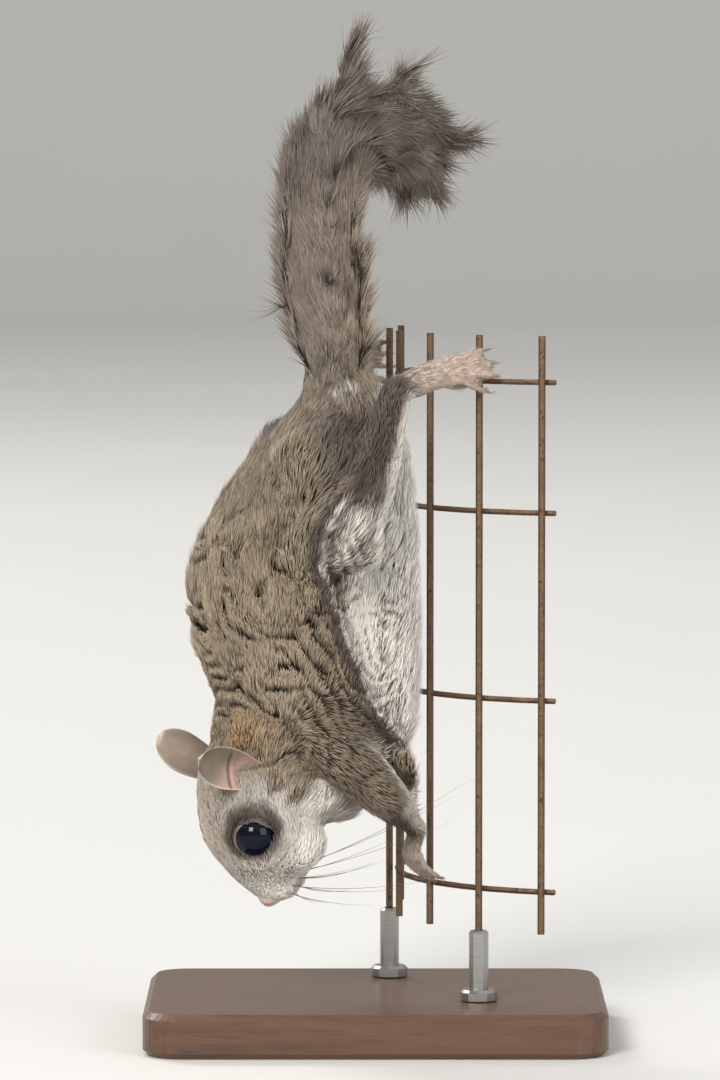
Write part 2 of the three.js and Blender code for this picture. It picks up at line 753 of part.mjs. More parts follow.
function makeBase() {
  const { wide, deep, high, corner, bevel } = BASE;
  const [x, y, r] = [wide / 2 - bevel, deep / 2 - bevel, corner - bevel];
  const outline = new THREE.Shape();
  outline.moveTo(x - r, -y);
  outline.absarc(x - r, -y + r, r, -Math.PI / 2, 0, false);
  outline.absarc(x - r, y - r, r, 0, Math.PI / 2, false);
  outline.absarc(-x + r, y - r, r, Math.PI / 2, Math.PI, false);
  outline.absarc(-x + r, -y + r, r, Math.PI, 1.5 * Math.PI, false);
  const slab = new THREE.ExtrudeGeometry(outline, {
    depth: high - 2 * bevel,
    bevelThickness: bevel,
    bevelSize: bevel,
    bevelSegments: 1,
    curveSegments: 4,
  });
  return solidOf(slab.translate(0, 0, bevel));
}

function material(colour, roughness, metalness = 0) {
  return new THREE.MeshStandardMaterial({ color: colour, roughness, metalness });
}

// A named mesh from a solid.
function node(name, solid, look) {
  const made = solid.getMesh();
  const count = made.numProp;
  const places = new Float32Array(made.numVert * 3);
  for (let i = 0; i < made.numVert; i++)
    places.set(made.vertProperties.subarray(i * count, i * count + 3), i * 3);
  const geometry = new THREE.BufferGeometry();
  geometry.setAttribute("position", new THREE.BufferAttribute(places, 3));
  geometry.setIndex(new THREE.BufferAttribute(made.triVerts, 1));
  geometry.computeVertexNormals();
  const mesh = new THREE.Mesh(geometry, look);
  mesh.name = name;
  return mesh;
}

const fur = (colour) => material(colour, 0.9);
const whole = new THREE.Group();
const clinging = new THREE.Group();
clinging.position.set(CAGE_AXIS.x, CAGE_AXIS.y, 0);
clinging.rotation.z = TURN;
whole.add(clinging);

const torsoSpace = makeTorso(GAP);
const neckSpace = makeNeck(GAP);
const skullSpace = makeSkull(GAP);
const cheekSpace = makeCheeks(GAP);
const headSpaces = [skullSpace, ...cheekSpace];
const torso = largest(cut(makeTorso(), headSpaces));
const neck = largest(cut(makeNeck(), [torsoSpace, ...headSpaces]));
clinging.add(node("torso", torso, fur(COLOURS.back)));
clinging.add(node("head", makeHead(), fur(COLOURS.back)));
clinging.add(node("neck", neck, fur(COLOURS.back)));

for (const side of [LEFT, RIGHT]) {
  const name = (part) => `${part}_${side.name}`;
  const eye = material(COLOURS.eye, 0.08);
  clinging.add(node(name("eye"), makeEye(side.sign), eye));
  const ear = largest(cut(makeEar(side), [skullSpace, neckSpace]));
  clinging.add(node(name("ear"), ear, fur(COLOURS.ear)));

  const body = [torsoSpace, neckSpace];
  const upperSpace = armParts.upper(side, GAP);
  const foreSpace = armParts.fore(side, GAP);
  const thighSpace = legParts.thigh(side, GAP);
  const shankSpace = legParts.shank(side, GAP);
  const limbs = {
    upper_arm: cut(armParts.upper(side), body),
    forearm: cut(armParts.fore(side), [...body, upperSpace]),
    hand: cut(makeHand(side), [foreSpace, torsoSpace, ...cageSpace]),
    thigh: cut(legParts.thigh(side), body),
    shank: cut(legParts.shank(side), [...body, thighSpace]),
    foot: cut(makeFoot(side), [shankSpace, ...cageSpace]),
  };
  for (const [part, solid] of Object.entries(limbs))
    clinging.add(node(name(part), largest(solid), fur(COLOURS.limb)));
  const membrane = cut(makeMembrane(side), [
    ...body,
    upperSpace,
    foreSpace,
    thighSpace,
    shankSpace,
  ]);
  clinging.add(node(name("membrane"), largest(membrane), fur(COLOURS.limb)));
}

// A lock crosses into the next tail node, so each node is cut back by the ones before it.
const tailSpans = { tail_base: [0, TAIL_CUTS[0]], tail_middle: TAIL_CUTS, tail_tip: [TAIL_CUTS[1], 1] };
const legSpaces = [LEFT, RIGHT].flatMap((s) => [legParts.thigh(s, GAP), legParts.shank(s, GAP)]);
const tailSpaces = TAIL_CUTS.map(tailHalf);
Object.entries(tailSpans).forEach(([name, [t0, t1]], k) => {
  const reach = [t0 - LOCK.ahead, t1];
  const locks = [...tailLocks(...reach), ...crestLocks(...reach)];
  const hair = join([makeTailCore(Math.max(0, t0 - 0.02), Math.min(1, t1 + 0.02)), ...locks]);
  const spaces = [];
  if (k > 0) spaces.push(tailSpaces[k - 1].before);
  if (k < 2) spaces.push(tailSpaces[k].after);
  const solid = cut(hair, [torsoSpace, ...legSpaces, ...spaces]);
  clinging.add(node(name, largest(solid), fur(COLOURS.tail)));
});

const wire = material(COLOURS.wire, 0.6, 0.7);
UPRIGHT_ANGLES.forEach((degrees, k) =>
  clinging.add(node(`stand_cage_upright_${k + 1}`, makeUpright(degrees), wire)),
);
HOOP_HEIGHTS.forEach((height, k) =>
  clinging.add(node(`stand_cage_hoop_${k + 1}`, makeHoop(height), wire)),
);
const steel = material(COLOURS.rod, 0.35, 0.9);
ROD_ANGLES.forEach((degrees, k) =>
  clinging.add(node(`stand_rod_${k + 1}`, makeRod(degrees), steel)),
);
whole.add(node("stand_base", makeBase(), material(COLOURS.base, 0.45)));

export default whole;
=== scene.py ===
# %% [markdown]
# # A flying squirrel in mesh fur
# The packed model is the fixed frame. It gives every part its place, in metres, with the floor at
# height zero. Nothing in it is moved here. The soft parts are dressed with one skin and a coat of
# small solid tufts, and the hard parts keep their shape and get a better finish.

# %% Load the frame
import math

import bpy
import numpy as np
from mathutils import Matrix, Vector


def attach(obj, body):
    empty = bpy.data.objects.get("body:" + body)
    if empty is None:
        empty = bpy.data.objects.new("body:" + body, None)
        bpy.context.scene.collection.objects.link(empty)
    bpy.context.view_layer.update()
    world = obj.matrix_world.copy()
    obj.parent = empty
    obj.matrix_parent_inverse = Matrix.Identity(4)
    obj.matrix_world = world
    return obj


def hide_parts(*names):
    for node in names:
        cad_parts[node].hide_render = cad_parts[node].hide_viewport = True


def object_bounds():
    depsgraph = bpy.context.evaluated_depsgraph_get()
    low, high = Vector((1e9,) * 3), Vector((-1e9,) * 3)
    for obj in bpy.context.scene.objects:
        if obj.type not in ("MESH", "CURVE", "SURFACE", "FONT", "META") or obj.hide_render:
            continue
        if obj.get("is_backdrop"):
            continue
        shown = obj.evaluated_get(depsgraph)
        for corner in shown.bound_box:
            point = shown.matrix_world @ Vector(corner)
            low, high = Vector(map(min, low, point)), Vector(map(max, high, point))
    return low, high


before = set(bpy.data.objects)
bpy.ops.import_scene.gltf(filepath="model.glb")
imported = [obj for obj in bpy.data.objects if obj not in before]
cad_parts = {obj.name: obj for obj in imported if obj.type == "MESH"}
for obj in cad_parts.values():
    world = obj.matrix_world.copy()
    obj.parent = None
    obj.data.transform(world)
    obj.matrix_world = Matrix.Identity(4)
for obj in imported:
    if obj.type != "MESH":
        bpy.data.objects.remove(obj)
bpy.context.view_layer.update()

# %% [markdown]
# The animal is built in its own frame, in millimetres. There x runs from the back to the belly, the
# left side is y below zero, and z runs up from the base. One turn about the upright and one shift
# take that frame to the world, so left and right can be written as mirror images.

# %% The animal's own frame
TURN = math.radians(26)
CAGE_AXIS = np.array([53.3, 24.0, 0.0])
TO_WORLD = np.array(
    [
        [math.cos(TURN), -math.sin(TURN), 0],
        [math.sin(TURN), math.cos(TURN), 0],
        [0, 0, 1],
    ]
)


def to_world(p):
    """Millimetres in the animal's frame to metres in the world: turn, shift, divide by 1000."""
    return (p @ TO_WORLD.T + CAGE_AXIS) / 1000


def to_animal(p):
    """Metres in the world to millimetres in the animal's frame, the other way round."""
    return (p * 1000 - CAGE_AXIS) @ TO_WORLD


EYE_CENTRE = np.array([-93.2, 8.0, 48.5])
EYE_RADIUS = 5.1
EYE_AXIS = np.array([-0.38, 0.9, -0.2])
EYE_AXIS = EYE_AXIS / np.linalg.norm(EYE_AXIS)
NOSE_TIP = np.array([-86.0, 0.0, 31.6])
rng = np.random.default_rng(20)


def beside(place, y):
    """One place of the left or the right for each y: its own y is turned to the side of y."""
    side = np.where(y < 0, -1.0, 1.0)
    return place * np.stack([np.ones_like(side), side, np.ones_like(side)], 1)


print("the right eye sits at", to_world(EYE_CENTRE).round(4), "metres")

# %% [markdown]
# A mesh is two lists: where its points are, and which points each face joins. Blender can hand
# both over as flat arrays in one call, which is far quicker than going from point to point. The
# frame's solids are loose triangles, so points in one place are merged on the way.


# %% Arrays to meshes and back
def unit(v):
    """Each row divided by its own length."""
    return v / np.maximum(np.linalg.norm(v, axis=-1, keepdims=True), 1e-9)


def mesh_arrays(mesh):
    """A mesh's vertices and triangles as arrays."""
    mesh.calc_loop_triangles()
    points = np.empty(len(mesh.vertices) * 3, np.float32)
    mesh.vertices.foreach_get("co", points)
    triangles = np.empty(len(mesh.loop_triangles) * 3, np.int32)
    mesh.loop_triangles.foreach_get("vertices", triangles)
    return points.reshape(-1, 3).astype(float), triangles.reshape(-1, 3)


def merged(points, triangles):
    """Vertices that lie in one place become one. Places are rounded to a thousandth of a
    millimetre first, and a triangle that shrank to a line is dropped."""
    keys = np.round(points * 1e6).astype(np.int64)
    _, first, back = np.unique(keys, axis=0, return_index=True, return_inverse=True)
    triangles = back.reshape(-1)[triangles]
    whole = (triangles[:, 0] != triangles[:, 1]) & (triangles[:, 1] != triangles[:, 2])
    return points[first], triangles[whole & (triangles[:, 0] != triangles[:, 2])]


def make_mesh(name, points, faces):
    """A mesh object from world points and faces that all have the same number of corners."""
    faces = np.asarray(faces, np.int32)
    mesh = bpy.data.meshes.new(name)
    mesh.vertices.add(len(points))
    mesh.vertices.foreach_set("co", np.asarray(points, np.float32).ravel())
    corners = faces.shape[1]
    mesh.loops.add(faces.size)
    mesh.loops.foreach_set("vertex_index", faces.ravel())
    mesh.polygons.add(len(faces))
    mesh.polygons.foreach_set("loop_start", np.arange(len(faces), dtype=np.int32) * corners)
    mesh.update(calc_edges=True)
    piece = bpy.data.objects.new(name, mesh)
    bpy.context.scene.collection.objects.link(piece)
    return piece


print("a vector of length", np.linalg.norm(unit(np.array([3.0, 4.0, 12.0]))))

# %% [markdown]
# Each piece of the model gets one material and one body to ride on. A piece that stands for solids
# of the frame names them, and they are hidden. Numbers that a material needs at each point, such as
# how pale the coat is there, travel on the mesh as attributes.


# %% A finished piece and its attributes
def finish_piece(piece, material, replaces=()):
    """Gives a piece its finish and its ride, and hides the solids that it replaces."""
    piece.data.materials.clear()
    piece.data.materials.append(material)
    piece.data.shade_smooth()
    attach(piece, "root")
    if replaces:
        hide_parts(*replaces)
    print(piece.name, "faces:", len(piece.data.polygons))
    return piece


def put_attribute(piece, name, values):
    """One number for each vertex, under a name that a material can read."""
    attribute = piece.data.attributes.new(name, "FLOAT", "POINT")
    attribute.data.foreach_set("value", np.asarray(values, np.float32))


# %% [markdown]
# An animal has no straight edges. Smooth noise breaks them: random numbers on a grid of cells,
# blended between the corners. A ramp is the other tool that all masks are made of, a soft step
# from 0 to 1.


# %% Smooth noise and soft steps
def noise(p, size, seed):
    """Smooth noise from -1 to 1. Each cell corner has a random number: its place, multiplied by
    large primes, with the bits then stirred. Between corners the numbers blend by 3 t squared
    minus 2 t cubed along each axis."""
    q = np.asarray(p) / size + 1000.0
    cell = np.floor(q).astype(np.int64)
    t = q - cell
    t = t * t * (3 - 2 * t)
    total = 0.0
    for corner in np.ndindex(2, 2, 2):
        c = (cell + corner).astype(np.uint64)
        h = c[:, 0] * 73856093 ^ c[:, 1] * 19349663 ^ c[:, 2] * 83492791 ^ np.uint64(seed * 7919)
        h = (h ^ (h >> np.uint64(13))) * np.uint64(1274126177)
        value = ((h ^ (h >> np.uint64(16))) & np.uint64(0xFFFF)).astype(float) / 0xFFFF
        weight = np.prod(np.where(corner, t, 1 - t), axis=1)
        total = total + value * weight
    return total * 2 - 1


def ramp(x, low, high):
    """0 below low, 1 above high, and a smooth step between. High may be the lower one."""
    t = np.clip((x - low) / (high - low), 0, 1)
    return t * t * (3 - 2 * t)


print("noise spans", noise(rng.random((999, 3)) * 50, 5, 1).min().round(2))

# %% [markdown]
# The skin stands for every soft part at once, so no seam shows between head, neck and legs. The
# parts of the frame are swollen by a hair to close the gaps between them, and then melted into one
# surface with a voxel remesh. Ears stay out of it: they are thinner than a voxel would keep.

# %% Join the soft parts into one surface
SOFT = [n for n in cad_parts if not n.startswith(("stand", "eye", "ear"))]
SWELL = 0.26  # millimetres, a little under the gap between parts
VOXEL = 0.00068  # metres
SAMPLES = 520  # sample points for each part

soft_points, soft_faces, soft_samples, soft_owner = [], [], [], []
count = 0
for number, name in enumerate(SOFT):
    points, triangles = merged(*mesh_arrays(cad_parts[name].data))
    a, b, c = (points[triangles[:, k]] for k in range(3))
    flat = np.cross(b - a, c - a)
    normal = np.zeros_like(points)
    for k in range(3):
        np.add.at(normal, triangles[:, k], unit(flat))
    soft_points.append(points + unit(normal) * SWELL / 1000)
    soft_faces.append(triangles + count)
    count += len(points)
    area = np.linalg.norm(flat, axis=1)
    pick = rng.choice(len(area), SAMPLES, p=area / area.sum())
    mix = rng.dirichlet((1, 1, 1), SAMPLES)
    corners = points[triangles[pick]]
    soft_samples.append((corners * mix[:, :, None]).sum(1))
    soft_owner.append(np.full(SAMPLES, number))
soft_samples = to_animal(np.concatenate(soft_samples))
soft_owner = np.concatenate(soft_owner)
raw_skin = make_mesh("raw_skin", np.concatenate(soft_points), np.concatenate(soft_faces))
remesh = raw_skin.modifiers.new("melt", "REMESH")
remesh.mode = "VOXEL"
remesh.voxel_size = VOXEL
depsgraph = bpy.context.evaluated_depsgraph_get()
melted = bpy.data.meshes.new_from_object(raw_skin.evaluated_get(depsgraph))
bpy.data.objects.remove(raw_skin)
skin_quads = np.empty(len(melted.polygons) * 4, np.int32)
melted.polygons.foreach_get("vertices", skin_quads)
skin_quads = skin_quads.reshape(-1, 4)
skin_points, _ = mesh_arrays(melted)
skin_points = to_animal(skin_points)
skin_edges = np.empty(len(melted.edges) * 2, np.int32)
melted.edges.foreach_get("vertices", skin_edges)
skin_edges = skin_edges.reshape(-1, 2)
print("skin:", len(skin_points), "points,", len(skin_quads), "quads")

# %% [markdown]
# Each point of the skin asks which part of the frame it came from. The nearest of some ten
# thousand sample points answers. That gives each part its own coat: how deep, how long and how
# fine. The numbers are then softened along the mesh, as a real coat changes little by little.


# %% Which part each point belongs to, and softening along the mesh
def nearest_owner(points, chunk=4000):
    """The owner of the closest sample, by the squared distance, for many points at once."""
    owner = np.empty(len(points), int)
    square = (soft_samples**2).sum(1)
    for part in np.array_split(np.arange(len(points)), len(points) // chunk + 1):
        nearness = square - 2 * points[part] @ soft_samples.T
        owner[part] = soft_owner[nearness.argmin(1)]
    return owner


degree = np.bincount(skin_edges.ravel(), minlength=len(skin_points)).astype(float)


def soften(values, rounds, share=0.5):
    """Each point moves by a share of the way to the mean of its neighbours, for some rounds."""
    values = values.astype(float)
    i, j = skin_edges[:, 0], skin_edges[:, 1]
    columns = values.reshape(len(values), -1)
    for _ in range(rounds):
        mean = np.empty_like(columns)
        for c in range(columns.shape[1]):
            mean[:, c] = np.bincount(i, columns[j, c], len(values))
            mean[:, c] += np.bincount(j, columns[i, c], len(values))
        columns = columns + share * (mean / degree[:, None] - columns)
    return columns.reshape(values.shape)


def point_normals(points):
    """The mean of the normals of the quads round each point. A quad's normal is the cross product
    of its diagonals."""
    corners = points[skin_quads]
    flat = np.cross(corners[:, 2] - corners[:, 0], corners[:, 3] - corners[:, 1])
    normal = np.zeros_like(points)
    for k in range(4):
        for axis in range(3):
            normal[:, axis] += np.bincount(skin_quads[:, k], flat[:, axis], len(points))
    return unit(normal)


owner = nearest_owner(skin_points)
part_of = np.array([n.rsplit("_", 1)[0] if n.endswith(("left", "right")) else n for n in SOFT])
# Each part's coat: its depth over the skin, its length and its width, in millimetres.
COATS = {
    "torso": (2.3, 7.2, 0.36),
    "neck": (2.0, 6.4, 0.34),
    "head": (1.0, 3.2, 0.25),
    "upper_arm": (1.2, 4.6, 0.28),
    "forearm": (0.7, 3.2, 0.24),
    "hand": (0.14, 1.3, 0.15),
    "thigh": (1.8, 6.0, 0.33),
    "shank": (1.0, 4.0, 0.27),
    "foot": (0.18, 1.7, 0.16),
    "membrane": (0.55, 4.6, 0.3),
    "tail_base": (0.8, 8.4, 0.28),
    "tail_middle": (0.8, 9.2, 0.28),
    "tail_tip": (0.8, 9.8, 0.28),
}
table = np.array([COATS[name] for name in part_of])
depth, length, width = soften(table[owner], 12).T
# The coat thins out round the eye and over the muzzle.
eye_far = np.linalg.norm(skin_points - beside(EYE_CENTRE, skin_points[:, 1]), axis=1)
depth *= 0.12 + 0.88 * ramp(eye_far, 6.4, 10.5)
muzzle = ramp(np.linalg.norm(skin_points - NOSE_TIP, axis=1), 19, 5)
depth *= 1 - 0.75 * muzzle
length *= 1 - 0.6 * muzzle
width *= 1 - 0.35 * muzzle
print("coat depth from", depth.min().round(2), "to", depth.max().round(2), "mm")

# %% [markdown]
# The skin itself: smoothed, then drawn in by the coat's depth, so that the tips of the hair come
# back out to the frame's own outline. Paws are hardly smoothed, because their digits are thin. The
# tail is smoothed most, and the hip on the far side is tucked in, so that no lump shows past the
# back.

# %% Draw the skin in under the coat
fine = soften(np.isin(part_of[owner], ["hand", "foot"]).astype(float), 8)[:, None]
fine = np.maximum(fine, ramp(eye_far, 9, 6.5)[:, None] * 0.8)
tail_like = soften(np.char.startswith(part_of[owner], "tail").astype(float), 8)[:, None]
calm = soften(skin_points, 7)
low_tail = tail_like * ramp(skin_points[:, 2:], 194, 182)
calm = calm * (1 - tail_like) + soften(calm, 20) * tail_like
calm = calm * (1 - low_tail) + soften(calm, 45) * low_tail
skin_points = skin_points * fine + calm * (1 - fine)
x, y, z = skin_points.T
far_hip = ramp(y, 8, 16) * ramp(z, 110, 122) * ramp(z, 156, 150) * ramp(x, -62, -72)
skin_points[:, 0] += 5.2 * far_hip
normal = point_normals(skin_points)
skin_points = skin_points - normal * (depth + SWELL)[:, None]
skin_points = skin_points * fine + soften(skin_points, 3) * (1 - fine)
normal = soften(point_normals(skin_points), 3)
normal = unit(normal)
print("skin height:", skin_points[:, 2].min().round(1), "to", skin_points[:, 2].max().round(1))

# %% [markdown]
# Hair lies along the body: from the nose to the tail, and down each limb to its paw. Each part
# names one way, the tail names its own curve, and the ways are softened and laid flat on the skin.

# %% The lie of the coat
TAIL_LINE = np.array(
    [
        [-69.5, 0, 143],
        [-70.6, -0.4, 157],
        [-73, -0.8, 171],
        [-73.8, -0.8, 184],
        [-73.2, -0.6, 195],
        [-69, 1.2, 203],
        [-61, 4.6, 205.6],
        [-51.5, 8.6, 204],
        [-43, 12.6, 200],
    ]
)
LIMB_WAYS = {
    "left": {
        "upper_arm": [14, -6, -7],
        "forearm": [14.4, 12.2, -9.6],
        "hand": [2.5, 4, -12],
        "thigh": [8, -4, 20],
        "shank": [14.5, 3.8, 33.8],
        "foot": [16, -3, 4],
        "membrane": [2, -3, 9],
    },
    "right": {
        "upper_arm": [12, 7, -6],
        "forearm": [18, -1.4, 10],
        "hand": [4, 2, -11],
        "thigh": [8, 3, 20],
        "shank": [5, 0, 32],
        "foot": [16, 3, 4],
        "membrane": [2, 3, 9],
    },
}
BODY_WAYS = {"torso": [0.06, 0, 1], "neck": [0.1, 0, 1], "head": [-0.28, 0, 0.96]}


def tail_place(points, steps=160):
    """How far along the tail each point lies, from 0 to 1, the tail's way there, and the step
    from the tail's line to the point. The line is sampled finely, and the closest sample
    answers."""
    step = np.linalg.norm(np.diff(TAIL_LINE, axis=0), axis=1)
    along = np.concatenate([[0], np.cumsum(step)])
    s = np.linspace(0, along[-1], steps)
    line = np.stack([np.interp(s, along, TAIL_LINE[:, k]) for k in range(3)], 1)
    way = unit(np.gradient(line, axis=0))
    near = ((line**2).sum(1) - 2 * points @ line.T).argmin(1)
    return near / (steps - 1), way[near], points - line[near]


tail_share, tail_way, tail_off = tail_place(skin_points)
on_tail = np.char.startswith(part_of[owner], "tail")
ways = np.zeros((len(SOFT), 3))
for number, name in enumerate(SOFT):
    if part_of[number] in BODY_WAYS:
        ways[number] = BODY_WAYS[part_of[number]]
    elif not name.startswith("tail"):
        ways[number] = LIMB_WAYS[name.rsplit("_", 1)[1]][part_of[number]]
lie = unit(ways)[owner]
lie[on_tail] = unit(tail_way + 0.05 * tail_off)[on_tail]
on_head = part_of[owner] == "head"
lie[on_head] = unit(skin_points - NOSE_TIP)[on_head]
lie = soften(lie, 14)
lie = unit(lie - normal * (lie * normal).sum(1, keepdims=True))
print("the coat on the tail covers", int(on_tail.sum()), "points")

# %% [markdown]
# The markings are drawn as masks from 0 to 1, worked out from where a point lies on the body. The
# skin and the coat read the same masks, so they always agree. Their edges are broken by noise.


# %% Where the markings lie
BODY = ["torso", "neck", "head"]
BELLY_LINE_Z = [30, 40, 50, 56, 61, 66, 72, 82, 98, 120, 130, 138, 146]
BELLY_LINE_X = [-84.5, -86, -85.5, -84, -80.5, -76, -78, -80, -80, -80, -77, -66, -60]
LIP_LINE = np.array(
    [
        [-79, -9, 41.4],
        [-80.6, -5.2, 36.6],
        [-81.6, 0, 32.9],
        [-80.6, 5.2, 36.6],
        [-79, 9, 41.4],
    ]
)
MEMBRANE_RIMS = np.array(
    [
        [
            [-63.5, -22.5, 69],
            [-70.5, -25.6, 75],
            [-77.2, -27, 86],
            [-81.5, -28.4, 97],
            [-87, -31, 107],
            [-89.6, -34.4, 115],
            [-83.6, -34, 123.5],
            [-73.5, -31, 132],
            [-67.5, -27.5, 141],
        ],
        [
            [-62.5, 25.2, 76],
            [-68, 26.6, 82],
            [-72.5, 27, 90],
            [-75, 27.6, 99],
            [-77.5, 29, 108],
            [-78.5, 30.5, 116],
            [-75.5, 30.5, 124],
            [-70.5, 29.5, 132],
            [-66.5, 27.5, 141],
        ],
    ]
)
KNEES = np.array([[-80.5, -28, 114], [-71, 24.5, 116]])
WRISTS = np.array([[-57, -12.6, 53], [-53.2, 23.1, 77.5]])
ANKLES = np.array([[-67.4, -23.4, 149], [-67.4, 23.4, 149]])
TAIL_SPOTS = np.array([[-71.5, -9, 146], [-71.5, 9, 146]])


def distance_to(p, places):
    """The distance from each point to the nearest of a few places."""
    square = (p**2).sum(1)[:, None] - 2 * p @ places.T + (places**2).sum(1)
    return np.sqrt(np.maximum(square.min(1), 0))


def rim_points(rims, number=90):
    """The rims' points, filled in between by straight steps."""
    t = np.linspace(0, rims.shape[1] - 1, number)
    known = np.arange(rims.shape[1])
    return np.concatenate(
        [np.stack([np.interp(t, known, rim[:, k]) for k in range(3)], 1) for rim in rims]
    )


print("points along the membranes' rims:", len(rim_points(MEMBRANE_RIMS)))

# %% [markdown]
# There are five masks. Pale is the white of the belly side; on the hand, part of its white is
# painted light. Grey is ash instead of buff. Dark is slate, as on the rim of the membrane and round
# the eye, and along the lips it is painted shade in the mouth's cleft. Warm is the tan of the nape.
# Bare is the skin of the paws. A picture could be painted on instead, but a formula has no seams
# and no limit to how near one can look.


# %% The five masks
def pale_mask(p, up, part, limb, face):
    """Where the coat is white: past a line along the flank, on the limbs' inner side, on the
    cheeks and the muzzle, in the folds at the knees and on two spots at the tail's root."""
    x, y, z = p.T
    rough = noise(p, 3.2, 3)
    belly_line = np.interp(z, BELLY_LINE_Z, BELLY_LINE_X)
    under = ramp(x - belly_line - 0.16 * np.maximum(np.abs(y) - 12, 0) + rough, -1.6, 1.6)
    inner_side = 0.95 * ramp(up[:, 0] + 0.12 * rough, 0.15, 0.6)
    pale = np.where(np.isin(part, BODY), under, np.where(limb, inner_side, 0.0))
    near_nose = ramp(np.linalg.norm(p - NOSE_TIP, axis=1), 11, 4)
    pale = np.maximum(pale, face * (0.34 + 0.3 * ramp(x, -98, -88) + 0.45 * near_nose))
    knee = ramp(distance_to(p, KNEES), 12, 7) * limb
    pale = np.maximum(pale, knee * (0.4 + 0.6 * noise(p, 2.2, 17)))
    spots = ramp(distance_to(p, TAIL_SPOTS), 5, 2.2)
    return np.clip(np.maximum(pale, 0.8 * spots), 0, 1)


def grey_mask(p, part, thigh, face, rim):
    """Where buff gives way to ash grey: the limbs, the face, the hind back and the tail, but for
    the edge of the tail that looks to the cage."""
    x, y, z = p.T
    tail = np.char.startswith(part, "tail")
    grey = np.where(tail | np.isin(part, ["forearm", "thigh", "shank"]), thigh, 0.0)
    grey = np.maximum(np.maximum(grey, face * (0.85 - 0.5 * ramp(x, -95, -100))), rim)
    grey = np.maximum(grey, 0.4 * ramp(z, 112, 134) * np.isin(part, BODY))
    buff_edge = ramp(x * TO_WORLD[0, 0] + y * TO_WORLD[0, 1], -64, -59) * ramp(z, 198, 186)
    return grey - 0.55 * np.where(tail, buff_edge, 0)


def markings(p, up, part, where_tail):
    """Every marking at points p that face the way up. Each is a smooth step across a curve on the
    body. Where two meet, the stronger one wins, and a dark line takes the white away."""
    x, y, z = p.T
    on_head, arm, leg = part == "head", part == "forearm", np.isin(part, ["thigh", "shank"])
    limb = arm | leg | (part == "upper_arm") | (part == "membrane")
    face = ramp(z + 0.25 * (x + 90), 67, 55) * on_head
    # A thin dark line along the lips: painted shade of the mouth's cleft.
    mouth_cleft_shade = ramp(distance_to(p, rim_points(LIP_LINE[None])), 0.9, 0.35) * on_head
    rim = ramp(distance_to(p, rim_points(MEMBRANE_RIMS)), 4.4, 2.4) * ramp(up[:, 0], 0.55, 0.1)
    rim = rim * limb
    ring = ramp(distance_to(p, EYE_CENTRE * np.array([[1, 1, 1], [1, -1, 1]])), 7.6, 6.1)
    thigh = np.where(part == "thigh", ramp(x, -88, -80), 1.0)
    pale = pale_mask(p, up, part, limb, face)
    grey = grey_mask(p, part, thigh, face, rim)
    dark = np.where(leg, 0.5 * thigh, 0) + np.where(arm, 0.5, 0)
    tail_shade = 0.28 * ramp(np.abs(where_tail - 0.6), 0.2, 0.03)
    dark = dark + np.where(np.char.startswith(part, "tail"), tail_shade, 0)
    dark = dark * (1 - 0.9 * pale)
    dark = np.maximum.reduce([dark, 0.85 * rim, 0.92 * ring, 0.8 * mouth_cleft_shade])
    pale = pale * (1 - rim) * (1 - ring) * (1 - 0.8 * mouth_cleft_shade)
    nape = np.exp(-((x + 97) ** 2 + (z - 69) ** 2) / 26)
    warm = 0.6 * nape * ramp(np.abs(y), 2, 6) * np.isin(part, BODY)
    hand, foot = part == "hand", part == "foot"
    digits = ramp(distance_to(p, np.concatenate([WRISTS, ANKLES])), 3, 14)
    # Both paws are pale, but the hand is painted whiter than the foot: part of its white is painted
    # light on a hand that lies in shade, and the foot is kept darker against the strong light on
    # it.
    pale = np.where(hand, 0.1 + 0.75 * digits, np.where(foot, 0.1 + 0.3 * digits, pale))
    grey = np.where(hand | foot, 1 - 0.7 * digits, grey)
    dark = np.where(hand | foot, 0.36 * (1 - digits), dark)
    bare = np.where(hand, 0.2 + 0.15 * digits, np.where(foot, 0.15 + 0.5 * digits, 0.0))
    return {"pale": pale, "grey": grey, "dark": dark, "warm": warm, "bare": bare}


drawn = markings(skin_points, normal, part_of[owner], tail_share)
marks = {name: soften(values, 3) for name, values in drawn.items()}
print({name: round(float(v.mean()), 2) for name, v in marks.items()})

# %% [markdown]
# Shader maths reads best as sums. One small class wraps a socket, so that two sockets can be added
# or multiplied as plain numbers are, and each sum adds its Math node.


